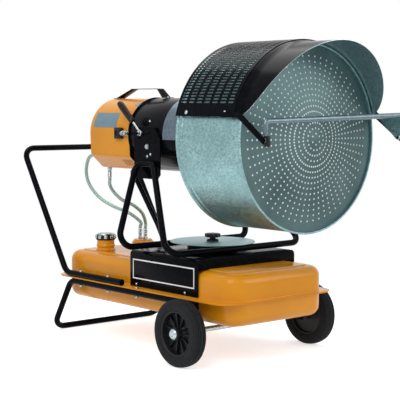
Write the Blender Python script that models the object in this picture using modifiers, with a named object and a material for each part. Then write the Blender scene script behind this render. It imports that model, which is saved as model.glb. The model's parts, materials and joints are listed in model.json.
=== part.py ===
"""Mobile oil-fired infrared heater.

A burner head with a drum-shaped radiator tilts and swivels on a tubular stand, which
stands on a pressed-steel fuel tank with two wheels, a foot tube and a push handle.
X points to the radiant side, Z is up, and the model's bounding box is centred on the
origin with its lowest point at Z = 0. Units are metres.
"""
import math

import bmesh
import bpy
from mathutils import Matrix, Vector

# General clearances and sheet thicknesses
seat_gap = 0.0003
running_gap = 0.0008
cut_overrun = 0.012
merge_distance = 0.00001
tube_radius = 0.0135
pressed_wall = 0.0022

# Steps around nested round shapes, which must be the same for both
wheel_steps = 28
housing_steps = 28
drum_steps = 40

# Fuel tank
tank_length = 1.06
tank_width = 0.49
tank_setback = 0.14
tank_bottom_z = 0.152
tank_seam_z = 0.243
tank_height_above_seam = 0.101
tank_plan_radius = 0.075
tank_edge_radius = 0.040
tank_draft = 0.006
tank_pad_inset = 0.010
tank_pad_rise = 0.004
flange_width = 0.050
end_bead_width = 0.012
flange_corner_radius = 0.105
filler_from_tank_end = 0.150
filler_from_tank_side = 0.105
filler_radius = 0.036
filler_height = 0.050
filler_wall = 0.003
filler_flare = 0.006
filler_bead_share = 0.45
strainer_depth = 0.070
strainer_wall = 0.0015
cap_radius = 0.046
cap_height = 0.030
cap_skirt_height = 0.009
cap_crown_share = 0.62
cap_shoulder_share = 0.82
cap_side_share = 0.90
cap_shoulder_drop = 0.006
cap_side_drop = 0.009
cap_lobe_radius = 0.0085
cap_lobes = 10
cap_lobe_drop = 0.010
pickup_from_tank_end = 0.115
pickup_from_tank_side = 0.160
pickup_radius = 0.047
pickup_ring_height = 0.022
pickup_plate_radius = 0.040
pickup_plate_thickness = 0.004
dip_pipe_radius = 0.005
dip_pipe_clearance = 0.020
hose_spacing = 0.036
hose_radius = 0.0075
hose_lead = 0.028
hose_stub = 0.0093
return_lead = 0.0233
feed_route_shares = ((0.371, 0.241, 0.206), (0.943, 0.483, 0.284), (1.543, 0.690, 0.396),
                     (1.952, 0.862, 0.574), (2.020, 0.945, 0.760), (1.752, 0.986, 0.938))
return_route_shares = ((-0.111, 0.161, 0.311), (0.095, 0.420, 0.468), (0.571, 0.700, 0.580),
                       (0.952, 0.888, 0.738))
fitting_radius = 0.0105
fitting_height = 0.046
fitting_hex_height = 0.012
fitting_neck_radius = 0.0063
fitting_neck_height = 0.003
fitting_collar_radius = 0.0089
fitting_collar_start = 0.006

# Foot tube, push handle and flange bolts
rail_from_tank_side = 0.040
rail_bend = 0.055
foot_front_x = 0.235
foot_knee_from_tank_end = 0.105
foot_floor_x = -0.695
handle_front_x = -0.215
handle_knee_from_tank_end = 0.070
handle_bar_x = -0.925
handle_bar_z = 0.765
bolt_radius = 0.004
bolt_head_radius = 0.0075
bolt_head_height = 0.005
rear_bolt_from_tank_end = 0.177
front_bolt_from_tank_end = 0.363

# Wheels and axle
wheel_radius = 0.125
wheel_x = 0.205
wheel_from_tank_side = 0.093
tyre_width = 0.056
tyre_inner_radius = 0.083
tyre_groove_depth = 0.003
tyre_shoulder_share = 0.16
tyre_seat_share = 0.78
tyre_side_share = 0.92
tyre_tread_share = 0.5
rim_width = 0.044
rim_wall = 0.004
rim_web_thickness = 0.005
rim_web_offset = 0.006
rim_hub_radius = 0.024
rim_rib_count = 11
rim_rib_thickness = 0.005
rim_rib_height = 0.012
axle_radius = 0.010
bush_wall = 0.005
axle_cap_radius = 0.021
axle_cap_height = 0.011
axle_cap_depth = 0.006
axle_cap_crown_share = 0.55
axle_cap_edge_share = 0.60
axle_plate_thickness = 0.005
axle_plate_length = 0.090
axle_plate_drop = 0.022
axle_plate_foot_share = 0.35

# Saddle and turntable
saddle_length = 0.410
saddle_side_gap = 0.004
saddle_thickness = 0.003
saddle_lip_height = 0.039
saddle_edge_radius = 0.018
hub_radius = 0.100
hub_height = 0.031
disc_radius = 0.168
disc_thickness = 0.003
knob_stem_radius = 0.008
knob_stem_depth = 0.020
knob_base_radius = 0.024
knob_base_height = 0.007
knob_base_side_share = 0.85
knob_neck_radius = 0.012
knob_neck_height = 0.008
knob_head_radius = 0.031
knob_head_height = 0.015
knob_lobes = 8
knob_lobe_depth = 0.004

# Stand
cradle_half_length = 0.150
knee_y = 0.360
leg_top_y = 0.1705
leg_top_z = 0.722
leg_top_rear_x = -0.270
leg_top_front_x = -0.162
leg_bend = 0.045
leg_top_bend = 0.026
brace_radius = 0.0095
brace_foot_x = -0.150
brace_foot_y = -0.125
brace_top_x = -0.318
brace_top_z = 0.668

# Head: axis, tilt pivot and side plates
head_z = 0.836
pivot_x = -0.217
pivot_z = 0.790
slot_orbit = 0.062
slot_angle = 122.0
tilt_up = 25.0
tilt_down = 5.0
side_plate_y = 0.1515
side_plate_thickness = 0.005
side_plate_rear_x = -0.302
side_plate_front_x = -0.138
side_plate_bottom_z = 0.662
side_plate_top_z = 0.868
side_plate_corner = 0.018
side_plate_lug = 0.026
side_plate_notch_share = 1.5
side_plate_slope_share = 2.5
side_plate_corner_run = 0.036
side_plate_lug_top = 0.052
pivot_bolt_radius = 0.006
pivot_head_radius = 0.011
pivot_head_height = 0.006
pivot_reach = 0.012
boss_radius = 0.016
boss_depth = 0.020
boss_point_share = 0.7
stud_radius = 0.005
stud_length = 0.040
lever_hub_radius = 0.011
lever_hub_height = 0.016
lever_rod_radius = 0.004
lever_length = 0.190
lever_grip_length = 0.125
lever_grip_radius = 0.0125
lever_grip_end_share = 0.7
lever_grip_round_share = 0.6
lever_grip_waist_share = 0.85
lever_angle = 139.0

# Burner housing and casing
housing_radius = 0.148
housing_wall = 0.003
housing_rear_x = -0.344
drum_rear_x = 0.183
flange_disc_radius = 0.1512
flange_disc_thickness = 0.008
cover_radius = 0.146
cover_length = 0.279
cover_wall = 0.0015
cover_edge_radius = 0.016
cover_flat_share = 0.55
cover_chamfer_share = 0.62
cover_side_share = 0.97
vent_count = 6
vent_pitch = 0.0115
vent_width = 0.0045
vent_height = 0.030
hose_hole_radius = 0.012
hose_top_y = -0.059
feed_inlet_drop = 0.094
return_inset = 0.031
shield_standoff = 0.006
shield_thickness = 0.001
shield_rear_x = -0.125
shield_from_angle = 22.0
shield_to_angle = 96.0
shield_spacer_corners = (2, 7)
shield_spacer_width = 0.012
shield_spacer_inset = 0.018
shield_spacer_front_inset = 0.024
shield_spacer_bite = 0.0002
handle_strip_width = 0.036
handle_strip_thickness = 0.0025
carry_top_z = 1.022
carry_rear_foot_x = -0.600
carry_rear_x = -0.500
carry_front_x = -0.330
carry_front_foot_x = -0.290
carry_foot_length = 0.022
motor_radius = 0.058
motor_length = 0.130
motor_bore_share = 0.5
motor_end_share = 0.1
motor_end_radius_share = 0.8
motor_shaft_share = 0.4
shaft_radius = 0.006
pump_radius = 0.030
pump_length = 0.045
fan_radius = 0.118
fan_width = 0.055
fan_back_gap = 0.008
fan_hub_share = 0.2
fan_blade_share = 0.24
fan_hub_length_share = 0.5
fan_blades = 12
fan_blade_thickness = 0.002
fan_backplate_thickness = 0.003
transformer_length = 0.085
transformer_width = 0.070
transformer_height = 0.050
socket_size = 0.046
socket_depth = 0.014
socket_x = -0.425
socket_z = 0.848
gland_radius = 0.011
gland_length = 0.022
gland_first_share = 0.9
gland_pitch_share = 1.9
gland_nut_share = 0.5
gland_slope_share = 0.6
gland_stem_share = 0.65
flame_tube_radius = 0.070
flame_tube_wall = 0.003
flame_tube_gap = 0.0016
flame_plate_x = -0.195
flame_tube_front_x = 0.060
nozzle_radius = 0.012
nozzle_length = 0.095
nozzle_back_share = 0.15
nozzle_tip_share = 0.6
nozzle_shoulder_share = 0.8

# Drum, dish and hood
drum_radius = 0.340
drum_length = 0.342
drum_wall = 0.002
drum_rim_radius = 0.0045
drum_rim_curl = 0.00675
drum_rim_width = 0.009
drum_bead_height = 0.003
drum_bead_width = 0.012
drum_bead_inset = 0.028
back_plate_thickness = 0.002
combustion_radius = 0.200
combustion_wall = 0.002
combustion_length = 0.230
dish_recess = 0.010
dish_rise = 0.045
dish_margin = 0.030
dish_thickness = 0.0015
dish_rings = 6
dish_hole_share = 0.42
dish_edge_share = 0.35
hood_gap = 0.012
hood_thickness = 0.0015
hood_half_angle = 77.0
hood_rear_x = 0.190
hood_front_x = 0.500
grille_columns = 6
grille_rows = 16
slot_length_share = 0.62
slot_height_share = 0.42
hood_margin_angle = 9.0
hood_border_share = 0.5
visor_overlap = 0.020
visor_reach = 0.190
visor_corner_reach = 0.004
visor_thickness = 0.0015
hood_screw_inset = 0.022
hood_spacer_radius = 0.006
arm_width = 0.020
arm_thickness = 0.004
arm_rear_x = 0.440
arm_bend_x = 0.535
arm_end_x = 0.662
arm_drop = 0.092
arm_lift_share = 0.85
bar_width = 0.022
bar_thickness = 0.003
bar_near_z = 0.905
bar_far_z = 0.927
bar_corner = 0.024
wing_length = 0.120
wing_thickness = 0.003
arm_bolt_radius = 0.004
arm_bolt_head_radius = 0.008

# Derived levels and places
tank_rear_x = -tank_length / 2 - tank_setback
filler_x = tank_rear_x + filler_from_tank_end
filler_y = filler_from_tank_side - tank_width / 2
pickup_x = tank_rear_x + pickup_from_tank_end
pickup_y = tank_width / 2 - pickup_from_tank_side
rail_y = tank_width / 2 + rail_from_tank_side
wheel_mid_y = tank_width / 2 + wheel_from_tank_side
foot_knee_x = tank_rear_x + foot_knee_from_tank_end
handle_knee_x = tank_rear_x + handle_knee_from_tank_end
through_bolt_places = (tank_rear_x + rear_bolt_from_tank_end, tank_rear_x + front_bolt_from_tank_end)
flange_top_z = tank_seam_z + seat_gap / 2 + pressed_wall
flange_bottom_z = tank_seam_z - seat_gap / 2 - pressed_wall
tank_top_z = tank_seam_z + tank_height_above_seam
pad_z = tank_top_z + tank_pad_rise
foot_rail_z = flange_bottom_z - seat_gap - tube_radius
handle_rail_z = flange_top_z + seat_gap + tube_radius
saddle_top_z = pad_z + seat_gap + saddle_lip_height
hub_bottom_z = saddle_top_z + seat_gap
hub_top_z = hub_bottom_z + hub_height
disc_bottom_z = hub_top_z + seat_gap
disc_top_z = disc_bottom_z + disc_thickness
cradle_z = disc_bottom_z - seat_gap - tube_radius
saddle_inner_y = tank_width / 2 + saddle_side_gap
saddle_outer_y = saddle_inner_y + saddle_thickness
flange_disc_rear_x = housing_rear_x - flange_disc_thickness
cover_front_x = flange_disc_rear_x - seat_gap
cover_rear_x = cover_front_x - cover_length
feed_top = (cover_rear_x - fitting_height - 2 * seat_gap, hose_top_y, head_z - feed_inlet_drop)
return_top = (cover_rear_x + return_inset, hose_top_y,
              head_z - cover_radius - fitting_height - 2 * seat_gap)
drum_front_x = drum_rear_x + drum_length
hood_radius = drum_radius + drum_rim_radius + hood_gap
hood_outer_radius = hood_radius + hood_thickness
visor_radius = hood_radius - seat_gap - visor_thickness
visor_front_x = hood_front_x + visor_reach
wheel_outer_y = wheel_mid_y + tyre_width / 2
arm_y = hood_outer_radius * math.sin(math.radians(hood_half_angle)) + seat_gap + arm_thickness
swivel_x = (tube_radius - handle_bar_x - visor_front_x) / 2


def clear_scene():
    """Remove what the scene holds, so that the model starts from nothing."""
    for item in list(bpy.data.objects):
        bpy.data.objects.remove(item, do_unlink=True)


def new_collection(name):
    group = bpy.data.collections.new(name)
    bpy.context.scene.collection.children.link(group)
    return group


clear_scene()
parts = new_collection("diesel_infrared_heater")
cutters = new_collection("cutters")


def new_finish(name, colour, roughness, metallic=0.0):
    """A Principled material with a plain colour, given in linear values."""
    finish = bpy.data.materials.new(name)
    finish.use_nodes = True
    shader = finish.node_tree.nodes["Principled BSDF"]
    shader.inputs["Base Color"].default_value = (*colour, 1.0)
    shader.inputs["Roughness"].default_value = roughness
    shader.inputs["Metallic"].default_value = metallic
    return finish


yellow_enamel = new_finish("yellow_enamel", (0.76, 0.32, 0.016), 0.28)
black_enamel = new_finish("black_enamel", (0.010, 0.010, 0.012), 0.30)
galvanised = new_finish("galvanised_steel", (0.36, 0.43, 0.43), 0.38, 0.9)
zinc_plated = new_finish("zinc_plated_steel", (0.42, 0.44, 0.45), 0.30, 1.0)
dark_steel = new_finish("heat_tinted_steel", (0.16, 0.19, 0.18), 0.42, 0.9)
black_rubber = new_finish("black_rubber", (0.012, 0.012, 0.012), 0.75)
black_plastic = new_finish("black_plastic", (0.014, 0.014, 0.016), 0.45)
brown_plastic = new_finish("brown_plastic", (0.030, 0.010, 0.008), 0.35)
braided_steel = new_finish("braided_steel", (0.20, 0.28, 0.25), 0.45, 0.7)
copper = new_finish("copper", (0.55, 0.23, 0.12), 0.30, 1.0)
cast_metal = new_finish("cast_aluminium", (0.40, 0.41, 0.42), 0.50, 0.9)


def new_axis(name, place, parent=None):
    """An empty that stands for a moving body's axis, at a place in heater coordinates."""
    axis = bpy.data.objects.new(name, None)
    parts.objects.link(axis)
    axis.parent = parent
    axis["place"] = tuple(place)
    origin = Vector(parent["place"]) if parent else Vector((-swivel_x, 0.0, 0.0))
    axis.location = Vector(place) - origin
    return axis


cart = new_axis("cart_origin", (0.0, 0.0, 0.0))
near_wheel = new_axis("near_wheel_axis", (wheel_x, -wheel_mid_y, wheel_radius), cart)
far_wheel = new_axis("far_wheel_axis", (wheel_x, wheel_mid_y, wheel_radius), cart)
filler = new_axis("filler_axis", (filler_x, filler_y, pad_z), cart)
stand = new_axis("swivel_axis", (0.0, 0.0, cradle_z), cart)
knob = new_axis("knob_axis", (0.0, 0.0, disc_top_z), stand)
head = new_axis("tilt_axis", (pivot_x, 0.0, pivot_z), stand)
stud_x = pivot_x + slot_orbit * math.cos(math.radians(slot_angle))
stud_z = pivot_z + slot_orbit * math.sin(math.radians(slot_angle))
lever = new_axis("lever_axis", (stud_x, -side_plate_y, stud_z), head)
fan = new_axis("fan_axis", (housing_rear_x, 0.0, head_z), head)

axis_turn = {
    "X": (0.0, math.radians(90), 0.0),
    "Y": (math.radians(-90), 0.0, 0.0),
    "Z": (0.0, 0.0, 0.0),
    "XZ": (math.radians(90), 0.0, 0.0),
    "YZ": (math.radians(90), 0.0, math.radians(90)),
}


def add_part(name, data, place, body, finish, turn="Z"):
    """Put a mesh or curve on a body, with its origin at a place in heater coordinates."""
    part = bpy.data.objects.new(name, data)
    parts.objects.link(part)
    part.data.materials.append(finish)
    part.parent = body
    part.location = Vector(place) - Vector(body["place"])
    part.rotation_euler = axis_turn[turn]
    return part


def make_cutter(part):
    """Turn an object into a hidden tool for a Boolean."""
    parts.objects.unlink(part)
    cutters.objects.link(part)
    part.hide_render = True
    part.display_type = "WIRE"
    return part


def apply_boolean(part, tool, operation="DIFFERENCE"):
    step = part.modifiers.new(tool.name, "BOOLEAN")
    step.object = tool
    step.operation = operation
    step.solver = "EXACT"


def turned_mesh(name, profile, closed):
    """The half section of a turned shape: points of radius and height, top to bottom."""
    mesh = bpy.data.meshes.new(name)
    points = [(radius, 0.0, height) for radius, height in profile]
    edges = [(index, index + 1) for index in range(len(points) - 1)]
    if closed:
        edges.append((len(points) - 1, 0))
    mesh.from_pydata(points, edges, [])
    return mesh


def turned(name, profile, place, body, finish, turn="Z", steps=32, closed=False):
    part = add_part(name, turned_mesh(name, profile, closed), place, body, finish, turn)
    screw = part.modifiers.new("turn", "SCREW")
    screw.angle = math.radians(360)
    screw.steps = steps
    screw.render_steps = steps
    screw.use_merge_vertices = True
    screw.merge_threshold = merge_distance
    screw.use_smooth_shade = True
    return part


def ring_profile(outer, inner, top, bottom):
    """The closed section of a plain ring."""
    return [(outer, top), (outer, bottom), (inner, bottom), (inner, top)]


def rod_profile(radius, top, bottom):
    return [(0.0, top), (radius, top), (radius, bottom), (0.0, bottom)]


def facing(profile, side):
    """A half section drawn for the far side, turned to face the near side for -1."""
    if side > 0:
        return profile
    return [(radius, -height) for radius, height in reversed(profile)]


def evaluated_mesh(part):
    """The mesh of an object with its curve and modifiers worked out, caps welded."""
    graph = bpy.context.evaluated_depsgraph_get()
    graph.update()
    mesh = bpy.data.meshes.new_from_object(part.evaluated_get(graph))
    work = bmesh.new()
    work.from_mesh(mesh)
    bmesh.ops.remove_doubles(work, verts=work.verts, dist=merge_distance)
    bmesh.ops.recalc_face_normals(work, faces=work.faces)
    work.to_mesh(mesh)
    work.free()
    return mesh


def as_mesh_part(part):
    """Replace a curve object by a mesh object of the same name and place."""
    name = part.name
    mesh = evaluated_mesh(part)
    solid = bpy.data.objects.new(name + "_solid", mesh)
    for group in part.users_collection:
        group.objects.link(solid)
    solid.parent = part.parent
    solid.location = part.location
    solid.rotation_euler = part.rotation_euler
    solid.hide_render = part.hide_render
    solid.display_type = part.display_type
    bpy.data.objects.remove(part, do_unlink=True)
    solid.name = name
    shade_round(mesh)
    return solid


def shade_round(mesh, limit=35.0):
    mesh.shade_smooth()
    mesh.set_sharp_from_angle(angle=math.radians(limit))


def rounded_path(points, bend, steps=3):
    """A path with each inner corner of a polygon rounded to a bend radius."""
    corners = [Vector(point) for point in points]
    bends = bend if isinstance(bend, (list, tuple)) else [bend] * (len(corners) - 2)
    path = [corners[0]]
    for index in range(1, len(corners) - 1):
        corner = corners[index]
        back = (corners[index - 1] - corner).normalized()
        ahead = (corners[index + 1] - corner).normalized()
        half = back.angle(ahead) / 2
        radius = bends[index - 1]
        reach = radius / math.tan(half)
        centre = corner + (back + ahead).normalized() * (radius / math.sin(half))
        start = corner + back * reach - centre
        end = corner + ahead * reach - centre
        for step in range(steps + 1):
            way = start.normalized().slerp(end.normalized(), step / steps)
            path.append(centre + way * radius)
    path.append(corners[-1])
    return path


def smooth_path(points, between=3):
    """A smooth curve through hand-placed points (Catmull-Rom), for hoses."""
    knots = [Vector(point) for point in points]
    knots = [knots[0] * 2 - knots[1]] + knots + [knots[-1] * 2 - knots[-2]]
    path = []
    for index in range(1, len(knots) - 2):
        before, first, second, after = knots[index - 1:index + 3]
        for step in range(between):
            share = step / between
            path.append(0.5 * (2 * first + (second - before) * share
                               + (2 * before - 5 * first + 4 * second - after) * share ** 2
                               + (3 * first - before - 3 * second + after) * share ** 3))
    path.append(knots[-2])
    return path


def tube(name, path, radius, body, finish, sides=2):
    """A round bar or tube along a path given in heater coordinates."""
    curve = bpy.data.curves.new(name, "CURVE")
    curve.dimensions = "3D"
    curve.bevel_depth = radius
    curve.bevel_resolution = sides
    curve.use_fill_caps = True
    spline = curve.splines.new("POLY")
    spline.points.add(len(path) - 1)
    for point, place in zip(spline.points, path):
        point.co = (*(Vector(place) - Vector(body["place"])), 1.0)
    part = add_part(name, curve, body["place"], body, finish)
    return as_mesh_part(part)


def plate(name, outlines, thickness, place, body, finish, turn="Z"):
    """A flat plate from closed outlines; the first is the edge, the others are holes."""
    curve = bpy.data.curves.new(name, "CURVE")
    curve.dimensions = "2D"
    curve.fill_mode = "BOTH"
    curve.extrude = thickness / 2
    for outline in outlines:
        spline = curve.splines.new("POLY")
        spline.points.add(len(outline) - 1)
        for point, place_2d in zip(spline.points, outline):
            point.co = (place_2d[0], place_2d[1], 0.0, 1.0)
        spline.use_cyclic_u = True
    part = add_part(name, curve, place, body, finish, turn)
    return as_mesh_part(part)


def circle(radius, count=16, centre=(0.0, 0.0)):
    return [(centre[0] + radius * math.cos(2 * math.pi * step / count),
             centre[1] + radius * math.sin(2 * math.pi * step / count)) for step in range(count)]


def rounded_rectangle(half_x, half_y, radius, segments=4):
    """Points around a rectangle with round corners, anticlockwise seen from above."""
    points = []
    for corner, (side_x, side_y) in enumerate(((1, 1), (-1, 1), (-1, -1), (1, -1))):
        for step in range(segments + 1):
            angle = math.radians(90) * (corner + step / segments)
            points.append((side_x * (half_x - radius) + radius * math.cos(angle),
                           side_y * (half_y - radius) + radius * math.sin(angle)))
    return points


def box(name, size, place, body, finish, edge=0.0, segments=1):
    """A block with its edges rounded, centred on a place."""
    mesh = bpy.data.meshes.new(name)
    work = bmesh.new()
    bmesh.ops.create_cube(work, size=1.0)
    bmesh.ops.scale(work, vec=Vector(size), verts=work.verts)
    work.to_mesh(mesh)
    work.free()
    part = add_part(name, mesh, place, body, finish)
    if edge:
        rounding = part.modifiers.new("edges", "BEVEL")
        rounding.width = edge
        rounding.segments = segments
    return part


def folded_sheet(name, points, width, thickness, place, body, finish, along="Y"):
    """A strip bent along a polygon of (a, z) points, centred across its width."""
    mesh = bpy.data.meshes.new(name)
    work = bmesh.new()
    rows = []
    for first, height in points:
        low = (first, -width / 2, height) if along == "Y" else (-width / 2, first, height)
        high = (first, width / 2, height) if along == "Y" else (width / 2, first, height)
        rows.append((work.verts.new(low), work.verts.new(high)))
    for (low_a, high_a), (low_b, high_b) in zip(rows, rows[1:]):
        work.faces.new((low_a, low_b, high_b, high_a))
    work.to_mesh(mesh)
    work.free()
    part = add_part(name, mesh, place, body, finish)
    thicken(part, thickness, 0.0)
    return part


def thicken(part, thickness, offset):
    wall = part.modifiers.new("sheet", "SOLIDIFY")
    wall.thickness = thickness
    wall.offset = offset
    wall.use_even_offset = True
    wall.use_quality_normals = True
    return wall


def join_meshes(name, members, finish=None):
    """One object that holds several separate solids of the same body."""
    first = members[0]
    work = bmesh.new()
    for member in members:
        mesh = evaluated_mesh(member)
        move = Matrix.Translation(member.location - first.location)
        mesh.transform(move @ member.rotation_euler.to_matrix().to_4x4())
        work.from_mesh(mesh)
    mesh = bpy.data.meshes.new(name)
    work.to_mesh(mesh)
    work.free()
    mesh.materials.clear()
    mesh.materials.append(finish or first.data.materials[0])
    group = bpy.data.objects.new(name + "_group", mesh)
    first.users_collection[0].objects.link(group)
    group.parent = first.parent
    group.location = first.location
    for member in members:
        bpy.data.objects.remove(member, do_unlink=True)
    group.name = name
    shade_round(mesh)
    return group


def lofted_shell(name, rings, downwards, place, body, finish):
    """A pressed shell: rings of (half length, half width, corner radius, height)."""
    mesh = bpy.data.meshes.new(name)
    work = bmesh.new()
    rows = []
    for half_x, half_y, radius, height in rings:
        outline = rounded_rectangle(half_x, half_y, radius)
        rows.append([work.verts.new((x, y, height)) for x, y in outline])
    for lower, upper in zip(rows, rows[1:]):
        for index in range(len(lower)):
            following = (index + 1) % len(lower)
            corners = [lower[index], lower[following], upper[following], upper[index]]
            work.faces.new(reversed(corners) if downwards else corners)
    work.faces.new(reversed(rows[-1]) if downwards else rows[-1])
    work.to_mesh(mesh)
    work.free()
    part = add_part(name, mesh, place, body, finish)
    thicken(part, pressed_wall, -1.0)
    shade_round(mesh, 50.0)
    return part


def shell_rings(flange_z, end_z, pad):
    """Sections of a tank half, from the edge of its flange to its flat face."""
    half_x = tank_length / 2
    half_y = tank_width / 2
    side = 1.0 if end_z > flange_z else -1.0
    rings = [(half_x + end_bead_width, half_y + flange_width, flange_corner_radius, flange_z),
             (half_x, half_y, tank_plan_radius, flange_z)]
    arc_steps = 3
    for step in range(arc_steps + 1):
        angle = math.radians(90) * step / arc_steps
        inset = tank_draft + tank_edge_radius * (1 - math.cos(angle))
        height = end_z - side * tank_edge_radius * (1 - math.sin(angle))
        radius = max(tank_plan_radius - inset, tank_plan_radius / 3)
        rings.append((half_x - inset, half_y - inset, radius, height))
    if pad:
        inset = tank_draft + tank_edge_radius + tank_pad_inset
        rings.append((half_x - inset, half_y - inset, tank_plan_radius / 3, end_z))
        inset += tank_pad_rise
        rings.append((half_x - inset, half_y - inset, tank_plan_radius / 3,
                      end_z + side * tank_pad_rise))
    return rings


def vertical_holes(name, places, radius, low_z, high_z, body):
    """Upright round cutters at (x, y) places."""
    holes = []
    for x, y in places:
        profile = rod_profile(radius, high_z + cut_overrun, low_z - cut_overrun)
        holes.append(turned(name, profile, (x, y, 0.0), body, black_enamel, steps=16))
    return make_cutter(join_meshes(name, holes))


def rail_bolt_places():
    return [(x, side * rail_y) for x in through_bolt_places for side in (-1, 1)]


def build_tank(rail_holes):
    centre = (-tank_setback, 0.0, 0.0)
    upper = lofted_shell("tank_upper_shell", shell_rings(flange_top_z, tank_top_z, True), False,
                         centre, cart, yellow_enamel)
    lower = lofted_shell("tank_lower_shell", shell_rings(flange_bottom_z, tank_bottom_z, False),
                         True, centre, cart, yellow_enamel)
    for shell in (upper, lower):
        apply_boolean(shell, rail_holes)
    top_holes = vertical_holes("filler_hole", [(filler_x, filler_y)],
                               filler_radius - filler_wall, tank_top_z, pad_z, cart)
    apply_boolean(upper, top_holes)
    pickup_hole = vertical_holes("pickup_hole", [(pickup_x, pickup_y)],
                                 pickup_plate_radius - pickup_plate_thickness,
                                 tank_top_z, pad_z, cart)
    apply_boolean(upper, pickup_hole)


def build_filler():
    bottom = pad_z + seat_gap
    top = bottom + filler_height
    bead = bottom + filler_height * filler_bead_share
    profile = [(filler_radius, top), (filler_radius, bead + filler_wall),
               (filler_radius + filler_wall, bead), (filler_radius, bead - filler_wall),
               (filler_radius, bottom + filler_flare), (filler_radius + filler_flare, bottom),
               (filler_radius - filler_wall, bottom), (filler_radius - filler_wall, top)]
    turned("filler_neck", profile, (filler_x, filler_y, 0.0), cart, yellow_enamel,
           steps=18, closed=True)
    outer = filler_radius - filler_wall - running_gap
    inner = outer - strainer_wall
    lip = filler_radius
    rim_top = top + seat_gap + strainer_wall
    strainer = [(lip, rim_top), (lip, top + seat_gap), (outer, top + seat_gap),
                (outer, top - strainer_depth), (0.0, top - strainer_depth),
                (0.0, top - strainer_depth + strainer_wall),
                (inner, top - strainer_depth + strainer_wall), (inner, rim_top)]
    turned("filler_strainer", strainer, (filler_x, filler_y, 0.0), cart, zinc_plated,
           steps=14, closed=True)
    build_filler_cap(rim_top + seat_gap)


def build_filler_cap(bottom):
    """A cup-shaped cap with a wavy grip edge, open below over the neck."""
    skirt_inner = filler_radius + running_gap
    low = bottom - cap_skirt_height
    crown = low + cap_height
    profile = [(0.0, crown), (cap_radius * cap_crown_share, crown),
               (cap_radius * cap_shoulder_share, crown - cap_shoulder_drop),
               (cap_radius * cap_side_share, crown - cap_side_drop), (cap_radius * cap_side_share, low),
               (skirt_inner, low), (skirt_inner, bottom), (0.0, bottom)]
    body = turned("filler_cap", profile, (filler_x, filler_y, 0.0), filler, zinc_plated, steps=20)
    lobes = []
    for index in range(cap_lobes):
        angle = 2 * math.pi * index / cap_lobes
        reach = cap_radius - cap_lobe_radius
        place = (filler_x + reach * math.cos(angle), filler_y + reach * math.sin(angle), 0.0)
        lobe = rod_profile(cap_lobe_radius, crown - cap_lobe_drop, bottom + seat_gap)
        lobes.append(turned("cap_lobe", lobe, place, filler, zinc_plated, steps=6))
    ring = make_cutter(join_meshes("cap_lobes", lobes))
    apply_boolean(body, ring, "UNION")


def build_pickup():
    """The raised ring and plate that the fuel hoses leave the tank by, with two dip pipes."""
    bottom = pad_z + seat_gap
    top = bottom + pickup_ring_height
    plate_top = top + pickup_plate_thickness
    bore = dip_pipe_radius + running_gap
    profile = [(0.0, plate_top), (pickup_plate_radius, plate_top), (pickup_plate_radius, top),
               (pickup_radius, top - pickup_plate_thickness), (pickup_radius, bottom),
               (pickup_plate_radius - pickup_plate_thickness, bottom),
               (pickup_plate_radius - pickup_plate_thickness, top - pickup_plate_thickness),
               (0.0, top - pickup_plate_thickness)]
    flange = turned("pickup_flange", profile, (pickup_x, pickup_y, 0.0), cart, yellow_enamel, steps=20)
    places = [(pickup_x - hose_spacing / 2, pickup_y), (pickup_x + hose_spacing / 2, pickup_y)]
    apply_boolean(flange, vertical_holes("dip_holes", places, bore, top, plate_top, cart))
    pipe_bottom = tank_bottom_z + pressed_wall + dip_pipe_clearance
    base = plate_top + seat_gap
    section = fitting_profile(base)[:-1]
    section += [(dip_pipe_radius, base), (dip_pipe_radius, pipe_bottom), (0.0, pipe_bottom)]
    for name, (x, y) in zip(("feed_pickup", "return_pickup"), places):
        crimped_fitting(name, section, (x, y, 0.0), cart, "Z")
    return [(x, y, base + fitting_height + seat_gap) for x, y in places]


def fitting_profile(base):
    """A hose end: nut, crimped sleeve and a neck, standing on its base."""
    top = base + fitting_height
    nut_top = base + fitting_hex_height
    return [(0.0, top), (fitting_collar_radius, top), (fitting_collar_radius, nut_top + fitting_collar_start),
            (fitting_neck_radius, nut_top + fitting_neck_height), (fitting_neck_radius, nut_top),
            (fitting_radius, nut_top), (fitting_radius, base), (0.0, base)]


def crimped_fitting(name, profile, place, body, turn):
    return turned(name, profile, place, body, zinc_plated, turn, steps=8)


def build_rails(rail_holes):
    foot = [(foot_front_x, -rail_y, foot_rail_z), (foot_knee_x, -rail_y, foot_rail_z),
            (foot_floor_x, -rail_y, tube_radius), (foot_floor_x, rail_y, tube_radius),
            (foot_knee_x, rail_y, foot_rail_z), (foot_front_x, rail_y, foot_rail_z)]
    handle = [(handle_front_x, -rail_y, handle_rail_z), (handle_knee_x, -rail_y, handle_rail_z),
              (handle_bar_x, -rail_y, handle_bar_z), (handle_bar_x, rail_y, handle_bar_z),
              (handle_knee_x, rail_y, handle_rail_z), (handle_front_x, rail_y, handle_rail_z)]
    foot_tube = tube("support_foot", rounded_path(foot, rail_bend), tube_radius, cart, black_enamel)
    apply_boolean(foot_tube, axle_plates(), "UNION")
    handle_tube = tube("push_handle", rounded_path(handle, rail_bend), tube_radius, cart, black_enamel)
    for rail in (foot_tube, handle_tube):
        apply_boolean(rail, rail_holes)


def bolt_profile(head_top_z, nut_bottom_z):
    """A bolt with its head at the top and a nut at the bottom, as one turned shape."""
    head_low = head_top_z - bolt_head_height
    nut_high = nut_bottom_z + bolt_head_height
    return [(0.0, head_top_z), (bolt_head_radius, head_top_z), (bolt_head_radius, head_low),
            (bolt_radius, head_low), (bolt_radius, nut_high), (bolt_head_radius, nut_high),
            (bolt_head_radius, nut_bottom_z), (0.0, nut_bottom_z)]


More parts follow.
